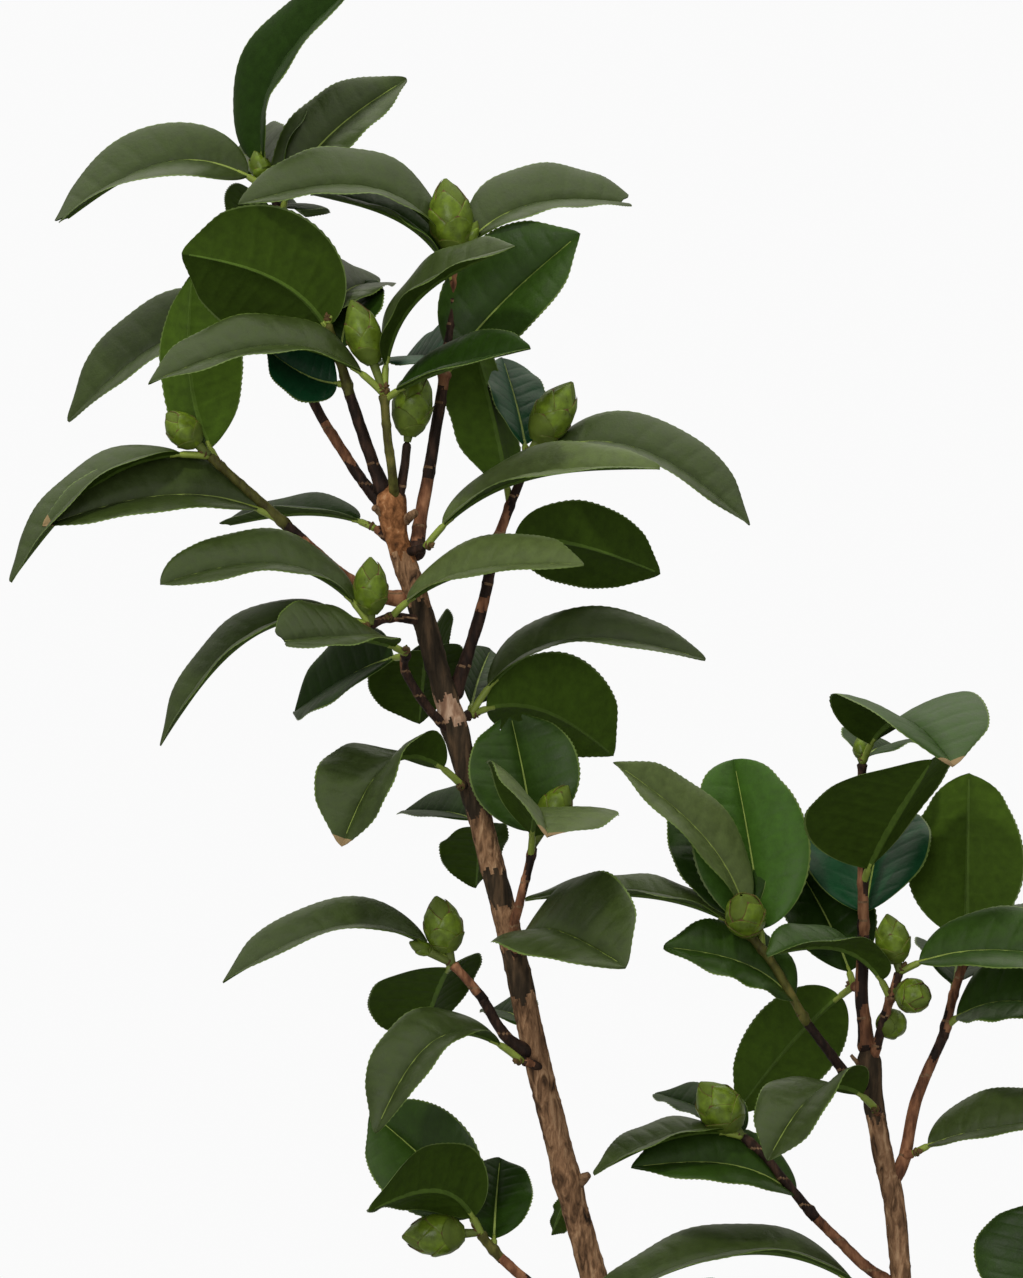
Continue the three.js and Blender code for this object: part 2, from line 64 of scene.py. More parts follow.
# Leaves. Their shares are of the length from base to tip.
STALK_SHARE, STALK_LAP, STALK_RADIUS = 0.1, 0.04, 1.3
LEAF_FOLD, FOLD_GAIN = 15, 1.5  # degrees, and how much more of them is beside the midrib
LEAF_SWEEP = np.array([0.35, -1, 0])  # the side that roll and sway go to
LEAF_EARLY = 0.3  # moves the top of the arch towards the base

# Blades. Their shares are of the blade alone, along it or from the midrib to the edge.
BLADE_ROWS = 92
BLADE_COLUMNS = [0, 0.028, 0.085, 0.26, 0.45, 0.64, 0.82, 0.968, 1]
BLADE_THICKNESS, BLADE_ROUNDNESS = 0.5, 0.62
TIP_START, TIP_SHARE, DRAWN_OUT, BLUNT = 0.8, 0.2, 0.35, -0.25
RIB_WIDTHS = ((0.5, 0.12), (1.15, 0.35))  # of the two columns beside the midrib: at the foot, at the tip
TEETH = np.array([-0.16, 0.04, 0.26])  # how far the rows stand out at the edge, three to a tooth
SIDE_VEINS = 7
VEIN_GAPS = SIDE_VEINS + 1.4
VEIN_SINK, PUFF_RISE, VEIN_RIDGE = 0.16, 0.12, 0.1
WAVE_COUNTS, WAVE_SIZES = (2, 3.5), (0.3, 0.9)
GROOVE_WIDTH, GROOVE_DEPTH = 0.55, 0.05
EDGE_START, TAN_START = 0.94, 0.955
BITES = [(-0.5, 0.13, 0.11), (0.36, 0.12, 0.1)]  # of an eaten tip: place across, width, depth

# Buds: heights and radii of their outline, the core's share of it, their scales and their stalks
BUD_OUTLINE = [(0, 0.3), (0.1, 0.64), (0.27, 0.92), (0.48, 1), (0.7, 0.84), (0.88, 0.46), (1, 0.07)]
BUD_CORE = 0.94
GOLDEN_TURN = math.radians(137.5)
SCALE_THICKNESS, SCALE_BULGE = 0.32, 1.57
BUD_STALK_RADII, BUD_STALK_REACH = (1.5, 2.0), 1.15
AXIL_BUD_SIZE = (3.2, 2.2)  # length and width, beside each leaf's stalk

# Their meshes: levels and sides of the core, number of scales, places across half a scale, rows of a scale
SMALL_BUD_WIDTH = 10
SMALL_BUD = (7, 8, 5, [0.5, 1], 4)
FULL_BUD = (15, 14, 11, [0.25, 0.5, 0.72, 0.93, 1], 12)

# Bark: the inks of stems and of boughs, in the order of their materials
STEM_TAN, STEM_DARK_AND_SHADE, STEM_KNOT, STEM_PALE, STEM_BROKEN = range(5)
BOUGH_RED, BOUGH_GREEN, BOUGH_SCAR, BOUGH_DARK_AND_SHADE = range(4)

# How fast the bark's noises change along X, Y and Z
FLAKES, RIDGES, GRAIN = (0.42, 0.42, 0.085), (0.75, 0.75, 0.12), (1.6, 1.6, 0.6)
STEM_RAGS, BOUGH_RAGS = (0.55, 0.55, 0.03), (0.6, 0.6, 0.1)
BOUGH_PATCHES, RIPPLE = (0.12, 0.12, 0.05), (0.12, 0.12, 0)

# Meshes of limbs: steps, sides, depth of the bark, and the ring scars' start and gap
STEMS = ("left_stem", "right_stem")
STEM_STEP, BOUGH_STEP, TWIG_STEP = 1.1, 1.0, 0.9
STEM_SIDES, BOUGH_SIDES, TWIG_SIDES, STUB_SIDES = 44, 24, 16, 18
TRUNK_RELIEF, STEM_RELIEF, BOUGH_RELIEF, TWIG_RELIEF, STUB_RELIEF = 0.5, 0.34, 0.16, 0.1, 0.2
LIMB_SCARS, TWIG_SCARS = (14, 26), (5, 13)

# The leaves' mesh is in five pieces
LEAF_PIECES = ["top", "middle", "low", "right", "foot"]

# Limbs: radii at foot and tip, and the points of each line
LIMBS = {
    "left_stem": ((7, 4.6),
     [[-12, 0, 68], [-47, 4, 130], [-78.5, 7, 205], [-102.4, 6, 280], [-121.2, 3, 351], [-139.6, 0, 431],
      [-159, -1, 503], [-173, -1, 551], [-182, 0, 579], [-184, 0, 597]]),
    "right_stem": ((6, 4),
     [[7.5, -0.5, 70], [19, -3, 130], [24, -4, 205], [20.4, -2, 280], [17.4, -1, 311], [13.8, 0, 327],
      [10, 1, 347], [7, 2, 373]]),
    "bough_top_left": ((2.3, 1.8),
     [[-185, 1, 587], [-193, 4, 596], [-202, 7, 609], [-215, 10, 631], [-224, 12, 659], [-227.2, 14, 683]]),
    "bough_top_middle": ((2.6, 2.2), [[-185.5, 1, 592], [-192, -1, 609], [-200, -5, 633]]),
    "bough_top_right": ((2.8, 2.2),
     [[-174, 1, 567], [-172, 5, 583], [-169.5, 8, 597], [-166.5, 9.5, 615], [-163, 9, 637]]),
    "bough_mid_left": ((2.6, 2.2),
     [[-176, -1, 551], [-187, -1, 552.5], [-201.5, -1, 560], [-225.5, -3, 581]]),
    "bough_mid_right": ((2.6, 2.2), [[-159, 1, 511], [-153, 4, 529], [-147, 6, 549], [-142, 7, 573]]),
    "bough_lower_left": ((2.3, 2), [[-127.5, 0, 369], [-137.5, -3, 376.5], [-147, -6, 392]]),
    "bough_low_left": ((2.3, 2), [[-98, 4, 259], [-113, -1, 267.5], [-127, -6, 277.5], [-140, -8, 289]]),
    "bough_right_top": ((2.8, 2.3), [[7, 2, 369], [6, 2, 380], [4.8, 2, 391], [5.4, 1, 417]]),
    "bough_right_inner": ((2.1, 1.8), [[8, 1, 356], [0, -3, 360], [-9, -6, 371], [-18, -7, 383]]),
    "bough_right_outer": ((2.5, 2.1), [[15, 0, 317], [20.8, 1, 325], [26.8, 3, 351], [38, 5, 377]]),
    "bough_right_low": ((2.3, 2), [[20, -2, 275], [6, -4, 285], [-5, -5, 295.5], [-15, -6, 305.5]]),
    "bough_foot_right": ((2.3, 2), [[22, -3, 250], [38, 2, 261], [54, 4, 271]]),
    "bough_foot_left": ((2.4, 2), [[-64, 6, 168], [-80, -8, 178], [-98, -20, 190]]),
    "bough_foot_back": ((2.4, 2), [[-81, 7, 214], [-72, 22, 224], [-62, 38, 234]]),
    "bough_foot_front": ((2.4, 2), [[20, -3, 150], [8, -18, 166], [-4, -34, 182]]),
    "bough_foot_rear": ((2.4, 2), [[20.5, -3, 164], [34, 14, 178], [44, 32, 192]]),
}

# Sprays: the limb that each grows on, the piece that its leaves are in, and the line of its twig.
# A leaf: tone (a letter of TONES) and marks, share of the twig, tip, arch, roll, width, twist, sway.
# A bud: share of the twig, tip, length, width.
# The mark lit gives a leaf the lighter underside, which is painted light.
SPRAYS = {
    "spray_top_left": {"on": "bough_top_left", "piece": "top",
     "twig": [[-227.2, 14, 683], [-229.6, 15.5, 705], [-231.2, 16.5, 715], [-235.2, 18, 721]],
     "leaves": [["d", 0.85, [-199, 3, 796.5], 18.5, 50, 43],
      ["g notch", 0.8, [-320.5, 6, 698.5], 20.5, 34, 42, -50], ["g", 0.95, [-250, 68, 735], 5, -30, 36],
      ["m", 0.8, [-213, 58, 748], 6, -40, 32], ["g", 0.5, [-178, 40, 763], 9, 44, 31],
      ["m", 0.6, [-246, 53, 699], 5, -30, 30], ["d", 0.6, [-220, 62, 709], 5, 30, 32]],
     "buds": [[1, [-239, 17, 732], 12, 9]]},
    "leaf_top_left": {"on": "bough_top_left", "piece": "top", "twig": [[-222.5, 13, 661], [-226, 25, 661]],
     "leaves": [["g", 1, [-316, 44, 624], 16, 42, 43]]},
    "spray_top_right": {"on": "bough_top_right", "piece": "top",
     "twig": [[-163, 9, 637], [-162, 9, 645], [-159.5, 8, 663], [-157.5, 7, 688]],
     "leaves": [["g", 1, [-244, -14, 708], 20, 35, 38], ["m", 0.8, [-216, 8, 714], 11, 20, 34],
      ["g notch", 1, [-84, 26, 711], 13, 31, 41], ["m", 0.08, [-108, -8, 697], 4, 75, 47],
      ["b", 0.1, [-181, 58, 648], 6, 30, 38]],
     "buds": [[1, [-162, 5, 720], 30, 18.4], [0.9, [-149, 4, 703], 11, 6], [0.9, [-138, 22, 695], 11, 6]]},
    "spray_top_middle": {"on": "bough_top_middle", "piece": "top",
     "twig": [[-200, -5, 633], [-204, -7, 647], [-208.8, -9, 661]],
     "leaves": [["m", 0.65, [-266, -24, 688], 11, -70, 56], ["g notch", 1, [-186, 36, 679], 8, 25, 28],
      ["d", 0.5, [-198, 28, 681], 3, 0, 34], ["b", 0.15, [-233, -12, 651], -3, 60, 36]]},
    "spray_crown": {"on": "left_stem", "piece": "top",
     "twig": [[-182, -2, 591], [-183, -9, 602], [-185, -12, 618], [-186, -15, 633]],
     "leaves": [["g", 1, [-278, -44, 635.5], 18, 30, 34], ["g", 1, [-134, -39, 690], 17, 28, 36],
      ["d", 0.95, [-128, -54, 649], 4, 32, 32]],
     "buds": [[1, [-199, -18, 670], 27, 14.5]]},
    "bud_crown": {"on": "left_stem", "piece": "top",
     "twig": [[-180.5, -1, 591], [-178, -4, 605], [-177, -5, 614]],
     "leaves": [], "buds": [[1, [-172.8, -6, 644], 28, 16.5]]},
    "spray_mid_right": {"on": "bough_mid_right", "piece": "middle",
     "twig": [[-142, 7, 573], [-136, 8, 589], [-132, 8, 599], [-129.2, 8, 608]],
     "leaves": [["m lit", 0.45, [-154, 30, 664], 2, 180, 36], ["b", 1, [-139, 53, 650], 4, 10, 26],
      ["g", 1, [-40, 2, 581], 17, 30, 38], ["m", 0.05, [-75, 37, 562], 5, -65, 38]],
     "buds": [[1, [-111, 6, 638.5], 28, 17]]},
    "leaf_crown_right": {"on": "left_stem", "piece": "middle", "twig": [[-177, -2, 570], [-170, -8, 572]],
     "leaves": [["p", 1, [-77, -38, 602.5], 14, 25, 34]]},
    "spray_mid_left": {"on": "bough_mid_left", "piece": "top",
     "twig": [[-225.5, -3, 581], [-241, -5, 595], [-256, -7, 608.5]],
     "leaves": [["g", 1, [-334, -22, 558], 15.5, 14, 32], ["g tan", 0.05, [-321, -25, 580], 12, 40, 38],
      ["m lit", 0.85, [-263, 1, 681], -8, -100, 38]],
     "buds": [[1, [-273, -8, 625.5], 18, 13.4]]},
    "leaf_crown_left": {"on": "left_stem", "piece": "middle", "twig": [[-181, 1, 573], [-190, 4, 580]],
     "leaves": [["d notch", 1, [-255, 28, 580.5], 6.5, 12, 30]]},
    "spray_left": {"on": "left_stem", "piece": "middle",
     "twig": [[-172, -2, 543], [-184, -12, 544], [-191.2, -18, 541]],
     "leaves": [["g blunt", 1, [-274, -33, 557], 17.5, 30, 35, 20], ["g", 1, [-275, -16, 493], 20.5, 22, 31],
      ["p", 0.6, [-107, -46, 564.5], 10, 32, 33]],
     "buds": [[1, [-191.4, -18, 568], 23, 14]]},
    "spray_under_left": {"on": "left_stem", "piece": "middle",
     "twig": [[-160, -2, 498], [-171, -9, 511], [-178, -15, 524], [-177, -22, 530]],
     "leaves": [["g notch", 1, [-228, -68, 534], 5, 24, 38, 30], ["d", 0.95, [-223, 28, 506], 4, 55, 41]]},
    "spray_behind_mid": {"on": "left_stem", "piece": "middle", "twig": [[-168, 1, 531], [-169, 10, 533]],
     "leaves": [["d", 1, [-163, 46, 526], 5, -50, 28], ["d", 1, [-173, 38, 501], 3, -15, 44]]},
    "spray_right": {"on": "left_stem", "piece": "middle",
     "twig": [[-160, 0, 502], [-155, 3, 504], [-152, 5, 505]],
     "leaves": [["g", 1, [-57.5, 10, 527], 21, 27, 32, 20], ["m lit", 1, [-94, 36, 488], 10, -60, 44],
      ["d", 1, [-144, 55, 531], 3, 30, 20]]},
    "leaf_front": {"on": "left_stem", "piece": "middle", "twig": [[-154, -1, 477], [-155, -10, 477]],
     "leaves": [["g tan", 1, [-202, -46, 454], 23, 2, 43, 80]]},
    "spray_front": {"on": "left_stem", "piece": "middle",
     "twig": [[-136, -1, 416], [-132, -8, 431], [-128, -9, 447], [-126.8, -8, 453]],
     "leaves": [["m eaten", 1, [-136, 4, 506], 2, 33, 46], ["p tan", 0.9, [-121, -78, 459], 16, 22, 58]],
     "buds": [[1, [-112.8, -10, 477], 20, 13.6]]},
    "spray_behind_low": {"on": "left_stem", "piece": "low", "twig": [[-147, 1, 460], [-147, 10, 461]],
     "leaves": [["d", 1, [-179, 54, 465], 3, 24, 30], ["d", 1, [-150, 50, 434], 3, -14, 30]]},
    "leaf_low_front": {"on": "left_stem", "piece": "low", "twig": [[-134, 0, 408], [-133.5, -9, 413]],
     "leaves": [["g", 1, [-91, -70, 408], 11, 32, 56, 0, 6]]},
    "spray_lower_left": {"on": "bough_lower_left", "piece": "low",
     "twig": [[-147, -6, 392], [-153.5, -8, 400], [-159, -9, 406]],
     "leaves": [["g", 1, [-250, -18, 399], 19, 24, 30], ["m", 1, [-173, 36, 371], 4, -14, 52]],
     "buds": [[1, [-165.5, -10, 433], 23, 16], [1, [-176, -12, 415], 10, 6]]},
    "leaf_stem_left": {"on": "left_stem", "piece": "low", "twig": [[-123, 0, 364], [-131, -6, 367]],
     "leaves": [["g", 1, [-189, -38, 341], 24, 20, 34, 16]]},
    "leaf_stem_back": {"on": "left_stem", "piece": "low", "twig": [[-127, 1, 377], [-127, 10, 378]],
     "leaves": [["d", 1, [-144, 54, 384], 3, 20, 22]]},
    "spray_low_left": {"on": "bough_low_left", "piece": "low",
     "twig": [[-140, -8, 289], [-144, -9, 293.5], [-148, -10, 299]],
     "leaves": [["m", 1, [-192, 20, 344], 4, 65, 43], ["g", 0.9, [-191, -55, 312], 14, -42, 44],
      ["d", 0.3, [-140, 20, 326], 3, 10, 28]],
     "buds": [[1, [-179, -13, 297.5], 25, 17]]},
    "leaf_stem_rear": {"on": "left_stem", "piece": "low", "twig": [[-110, 2, 312], [-112, 11, 313]],
     "leaves": [["d", 1, [-119, 32, 294], 0, 62, 12]]},
    "leaf_low_right": {"on": "right_stem", "piece": "low", "twig": [[19, -2, 267], [13, -8, 269]],
     "leaves": [["g", 1, [-111, -34, 267.5], 24.5, 14, 37]]},
    "spray_right_inner": {"on": "bough_right_inner", "piece": "right",
     "twig": [[-18, -7, 383], [-32, -9, 407], [-40.8, -10, 418]],
     "leaves": [["p", 1, [-95, -22, 486.5], 10.5, 50, 30], ["y blunt", 0.8, [-46, 14, 487], 3, 20, 49],
      ["d blunt", 1, [-66, 25, 469], 3, 30, 37], ["g", 1, [-130, -10, 431.5], 9.5, 14, 27],
      ["m", 0.05, [-75, -16, 413], 9, 45, 34]],
     "buds": [[1, [-44.5, -26, 434], 22, 16.5]]},
    "spray_right_buds": {"on": "right_stem", "piece": "right",
     "twig": [[9.5, 0, 368], [14, -8, 387], [17.2, -11, 397], [19, -12, 403]],
     "leaves": [["m", 0.7, [-35, -42, 411], 13, 8, 36], ["m", 1, [96, -42, 407], 8, 38, 38]],
     "buds": [[1, [14, -13, 426], 20, 14], [0.8, [30, -24, 392], 16, 14], [0.4, [22, 3, 381.5], 14, 12]]},
    "leaf_right_front": {"on": "right_stem", "piece": "right", "twig": [[11, 0, 346], [10, -9, 348]],
     "leaves": [["g", 1, [-35, -50, 331], 18, -2, 37, 70]]},
    "spray_right_back": {"on": "bough_right_top", "piece": "right", "twig": [[5, 3, 395], [2, 10, 396]],
     "leaves": [["m lit", 1, [-43.5, 42, 343], 3, -65, 38], ["d", 1, [-21, 37, 446], 3, 30, 38]]},
    "spray_right_low": {"on": "bough_right_low", "piece": "low",
     "twig": [[-15, -6, 305.5], [-27, -9, 320], [-35, -10, 330], [-43.5, -10, 337.5]],
     "leaves": [["g", 1, [-103, -30, 324], 7, 10, 25], ["m", 0.05, [-88, -23, 326], 11, 42, 34],
      ["d", 0.9, [-77, 35, 351], 4, 15, 28]],
     "buds": [[1, [-60.4, -12, 359], 24, 18.5]]},
    "leaf_right_outer": {"on": "bough_right_outer", "piece": "right",
     "twig": [[21.2, 1.5, 328], [25, -3, 330]],
     "leaves": [["g", 1, [87, -22, 345.5], 4, 28, 38]]},
    "spray_right_outer": {"on": "bough_right_outer", "piece": "right",
     "twig": [[38, 5, 377], [42.5, 6, 395], [47, 6, 408]],
     "leaves": [["m", 0.1, [84, -26, 389.5], 7, 40, 40], ["m lit blunt", 1, [50, 31, 481], 3, 180, 49],
      ["g", 0.9, [104, 34, 418], 5, 20, 36], ["d", 0.5, [50, 75, 400], 8, 10, 38]]},
    "spray_right_top": {"on": "bough_right_top", "piece": "right",
     "twig": [[5.4, 1, 417], [5.2, 0, 431], [4.4, -1, 471], [4.8, -2, 486]],
     "leaves": [["m", 0.3, [29, -51, 488], 4, 15, 75], ["b", 0.05, [17, 47, 466], 3, 0, 54],
      ["m tan", 1, [37, -62, 486], 18, 0, 63], ["d", 1, [20, 42, 492], 3, 10, 32]],
     "buds": [[1, [4, 1, 497], 10, 7]]},
    "spray_foot_right": {"on": "bough_foot_right", "piece": "foot",
     "twig": [[54, 4, 271], [66, 4, 268], [76, 3, 264]],
     "leaves": [["m", 1, [79, 8, 310], 4, 0, 51], ["m", 1, [120, -20, 278], 8, 30, 38],
      ["m", 1, [114, 45, 260], 8, 10, 38], ["m", 0.3, [62, -52, 248], 8, 0, 38]],
     "buds": [[1, [93, -2, 280], 20, 14]]},
    "spray_foot_left": {"on": "bough_foot_left", "piece": "foot",
     "twig": [[-98, -20, 190], [-110, -25, 199], [-118, -28, 206]],
     "leaves": [["m", 1, [-195, -40, 215], 16, 30, 40], ["m", 0.9, [-120, -95, 225], 12, 0, 40],
      ["m", 1, [-150, 25, 240], 8, 40, 38], ["m", 0.3, [-70, -75, 215], 10, 10, 38]],
     "buds": [[1, [-124, -34, 230], 24, 15]]},
    "spray_foot_back": {"on": "bough_foot_back", "piece": "foot",
     "twig": [[-62, 38, 234], [-56, 46, 240], [-52, 52, 246]],
     "leaves": [["m", 1, [-20, 110, 250], 8, 20, 40], ["m", 1, [-110, 95, 252], 8, 20, 40],
      ["m", 0.6, [15, 60, 236], 10, 40, 38], ["m", 0.9, [-70, 92, 258], 4, 40, 38]]},
    "spray_foot_front": {"on": "bough_foot_front", "piece": "foot",
     "twig": [[-4, -34, 182], [-9, -43, 191], [-12, -50, 199]],
     "leaves": [["m", 1, [-60, -105, 205], 14, 10, 40], ["m", 1, [55, -80, 215], 14, 30, 38],
      ["m", 0.8, [-45, -20, 245], 6, 60, 40]],
     "buds": [[1, [-14, -62, 222], 24, 16]]},
    "spray_foot_rear": {"on": "bough_foot_rear", "piece": "foot",
     "twig": [[44, 32, 192], [50, 42, 201], [54, 50, 210]],
     "leaves": [["m", 1, [110, 90, 225], 12, 20, 40], ["m", 1, [20, 120, 225], 12, 20, 40],
      ["m", 0.7, [115, 15, 205], 14, 30, 38], ["m", 1, [60, 70, 270], 5, 40, 38]]},
}

# Knots of the stems: height, gain in radius, half height
KNOTS = {
    "left_stem": [(591, 1.5, 9), (502, 0.9, 6), (318, 0.9, 6)],
    "right_stem": [(366, 0.9, 7)],
}

# Bark of the stems between two heights; the dark stretches are partly the bark's own colour and partly
# painted shade. Elsewhere it is tan.
STEM_BARK = {
    "left_stem": [(568, 640, STEM_KNOT), (512, 549, STEM_DARK_AND_SHADE), (501, 512, STEM_PALE),
                  (466, 501, STEM_DARK_AND_SHADE), (429, 442, STEM_DARK_AND_SHADE), (391, 410, STEM_DARK_AND_SHADE)],
    "right_stem": [(343, 400, STEM_DARK_AND_SHADE)],
}

# Reddish stretches of some boughs and of a twig, between two heights, where sun fell. The rest of these is
# dark, partly painted shade.
BOUGH_BARK = {
    "bough_top_left": [(605, 622)],
    "bough_top_middle": [(646, 660)],
    "bough_top_right": [(575, 600)],
    "bough_mid_left": [(530, 576)],
    "bough_mid_right": [(546, 552), (592, 610)],
    "bough_lower_left": [(490, 528)],
    "bough_right_outer": [(310, 367)],
    "bough_right_low": [(260, 311)],
    "bough_right_inner": [],
    "spray_right_low": [],
}

# Broken twigs and leaf scars on the stems: foot, tip, radius at each
STUBS = [
    ((-156, 0, 487), (-147.5, -5, 486), 2.2, 1.2),
    ((8, 1, 360), (0.4, -1, 369), 1.7, 0.8),
    ((-110, 4, 317), (-104.6, 0, 321), 3.4, 1.4),
    ((-178, -1, 583), (-173.5, -5, 586), 2.4, 1.4),
    ((-186, 0, 585), (-190.5, -4, 588), 2.2, 1.3),
]

# Twigs whose bark is still green
GREEN_TWIGS = ["spray_mid_left", "spray_crown", "spray_top_middle", "spray_low_left", "spray_right_inner",
               "spray_foot_left", "spray_foot_front"]

# Floor, world and lamps. A lamp: name, place, size, power, colour.
FLOOR_RADIUS, FLOOR_SIDES = 2.1, 128
NOISE_SPAN = (0.3, 0.7)  # the range of a noise that the roughness follows
RANGE_SOCKETS = ("From Min", "From Max", "To Min", "To Max")
WORLD_LIGHT = 0.42
SKY_GLOSS = (0.45, 1.0, 0.4, 2.5)  # two heights, and the strengths at them
LIGHTS = [
    ("key", (-0.9, -1.5, 2.7), 0.25, 28, (1, 0.96, 0.88)),
    ("fill", (-0.9, -3.0, 1.2), 1.4, 18, (1, 0.99, 0.95)),
    ("sky", (-0.1, 0.9, 2.6), 2.0, 5, (1, 0.99, 0.96)),
]


# Numbers and curves
def unit(v):
    """Vectors along v with a length of 1, row by row."""
    return v / np.maximum(np.linalg.norm(v, axis=-1, keepdims=True), 1e-12)


def clamp(x):
    """x, kept between 0 and 1."""
    return np.clip(x, 0, 1)


def bell(x, width):
    """1 where x is zero, and less the further it is from zero."""
    return np.exp(-(x / width) ** 2)


def angles(n):
    """n even steps round a circle."""
    return np.linspace(0, 2 * math.pi, n, endpoint=False)


def hash_noise(p, seed):
    """Smooth value noise in -1..1 at points p, one value for each row."""
    cell = np.floor(p).astype(np.int64)
    f = p - cell
    f = f * f * f * (f * (f * 6 - 15) + 10)
    total = np.zeros(len(p))
    for corner in range(8):
        d = np.array([corner & 1, corner >> 1 & 1, corner >> 2 & 1])
        h = np.bitwise_xor.reduce((cell + d) * HASH_STEPS, axis=1) ^ (seed * HASH_SEED)
        h = (h ^ (h >> 13)) * HASH_MIX & 0xFFFFFFFF
        value = ((h >> 8) & 0xFFFF) / 32767.5 - 1
        total += value * np.prod(np.where(d, f, 1 - f), axis=1)
    return total


def fractal(p, seed):
    """Three octaves of the noise, each finer and weaker than the last."""
    return sum(hash_noise(p * 2 ** k, seed + k) / 2 ** k for k in range(3)) / 1.75


class Curve:
    """A centripetal curve through points, measured by its length."""

    def __init__(self, points):
        p = np.array(points, float)
        p = np.vstack([2 * p[0] - p[1], p, 2 * p[-1] - p[-2]])
        t = np.linspace(0, 1, CURVE_STEPS)[:, None]
        track = []
        for i in range(len(points) - 1):
            a, b, c, d = p[i:i + 4]
            ab, bc, cd = (max(np.linalg.norm(v) ** 0.5, 1e-4) for v in (b - a, c - b, d - c))
            m1 = ((b - a) / ab - (c - a) / (ab + bc) + (c - b) / bc) * bc
            m2 = ((c - b) / bc - (d - b) / (bc + cd) + (d - c) / cd) * bc
            square, cube = 3 * (c - b) - 2 * m1 - m2, 2 * (b - c) + m1 + m2
            track.append(b + m1 * t + square * t ** 2 + cube * t ** 3)
        self.track = np.vstack(track)
        step = np.linalg.norm(np.diff(self.track, axis=0), axis=1)
        self.along = np.concatenate([[0], np.cumsum(step)])
        self.length = self.along[-1]

    def at(self, t):
        """The points at shares t of the curve's length."""
        s = np.asarray(t, float) * self.length
        return np.stack([np.interp(s, self.along, self.track[:, k]) for k in range(3)], axis=-1)


def carried_frames(points):
    """Two crosswise axes along a row of points, turning as little as they can."""
    ahead = unit(np.gradient(points, axis=0))
    start = np.array([0, -1, 0]) if abs(ahead[0][1]) < 0.9 else np.array([1, 0, 0])
    side = unit(start - ahead[0] * (start @ ahead[0]))
    sides = [side]
    for direction in ahead[1:]:
        side = unit(side - direction * (side @ direction))
        sides.append(side)
    sides = np.array(sides)
    return sides, np.cross(ahead, sides)


# Meshes
def add_object(name, data):
    """A new object in the scene."""
    obj = bpy.data.objects.new(name, data)
    bpy.context.scene.collection.objects.link(obj)
    return obj


class Sheaf:
    """Many surfaces gathered into one mesh, each of quads with inks, which are material numbers."""

    def __init__(self):
        self.points, self.quads, self.inks, self.count = [], [], [], 0

    def add(self, points, quads, inks):
        """Adds one surface, with one ink or an ink for each quad."""
        self.points.append(points.reshape(-1, 3))
        self.quads.append(quads + self.count)
        self.inks.append(np.broadcast_to(np.ravel(inks), len(quads)))
        self.count += len(self.points[-1])

    def piece(self, name, materials, nodes, slot):
        """The gathered mesh as an object that stands for nodes of the part."""
        mesh = bpy.data.meshes.new(name)
        points, quads, inks = np.vstack(self.points) * MM, np.vstack(self.quads), np.concatenate(self.inks)
        mesh.vertices.add(len(points))
        mesh.vertices.foreach_set("co", points.ravel())
        mesh.loops.add(quads.size)
        mesh.loops.foreach_set("vertex_index", quads.ravel().astype(np.int32))
        mesh.polygons.add(len(quads))
        mesh.polygons.foreach_set("loop_start", np.arange(0, quads.size, 4, dtype=np.int32))
        mesh.polygons.foreach_set("material_index", inks.astype(np.int32))
        mesh.polygons.foreach_set("use_smooth", np.ones(len(quads), bool))
        for material in materials:
            mesh.materials.append(material)
        mesh.update(calc_edges=True)
        mesh.validate()
        obj = add_object(name, mesh)
        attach(obj, "root")
        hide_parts(*nodes)
        return obj


def grid_quads(rows, columns, wrap=False):
    """Corner numbers of a grid of points, row by row. A wrapped grid closes round its columns."""
    r = np.arange(rows - 1)[:, None]
    c = np.arange(columns if wrap else columns - 1)[None, :]
    n = (c + 1) % columns
    quads = np.stack([r * columns + c, r * columns + n, (r + 1) * columns + n, (r + 1) * columns + c], -1)
    return quads.reshape(-1, 4)


def tube(sheaf, points, radii, sides, ink, relief=None):
    """A round tube, closed at both ends, with its relief added to its radius. An ink may be a rule."""
    side, over = carried_frames(points)
    turn = angles(sides)
    out = side[:, None] * np.cos(turn)[None, :, None] + over[:, None] * np.sin(turn)[None, :, None]
    skin = points[:, None] + out * radii[:, None, None]
    if relief is not None:
        skin = skin + out * relief(skin.reshape(-1, 3)).reshape(len(points), sides)[..., None]
    ends = [points[:1].repeat(sides, 0), points[-1:].repeat(sides, 0)]
    whole = np.vstack([ends[0], skin.reshape(-1, 3), ends[1]])
    if callable(ink):
        ink = ink(whole[:-sides])
    sheaf.add(whole, grid_quads(len(points) + 2, sides, wrap=True), ink)


# Leaves
def leaf_frame(base, tip, arch, roll, twist, sway):
    """A rule that gives a leaf's spot, crosswise axis and normal at shares of its length."""
    reach = np.array(tip, float) - base
    ahead = reach / np.linalg.norm(reach)
    up = unit(np.array([0, 0, 1.0]) - ahead * ahead[2])
    facing = unit(np.cross(reach, up))
    hand = -1 if facing @ LEAF_SWEEP < 0 else 1
    bow = up * arch + facing * hand * sway

    def frame_at(s):
        s = s[..., None]
        q = s * (1 + LEAF_EARLY * (1 - s))
        spot = base + reach * s + bow * 4 * q * (1 - q)
        along = unit(reach + bow * 4 * (1 - 2 * q) * (1 + LEAF_EARLY * (1 - 2 * s)))
        turn = np.radians(roll + twist * (s - 0.5))
        lifted = unit(up - along * (along @ up)[..., None])
        normal = lifted * np.cos(turn) + np.cross(along, lifted) * hand * np.sin(turn)
        return spot, np.cross(along, normal), normal

    return frame_at


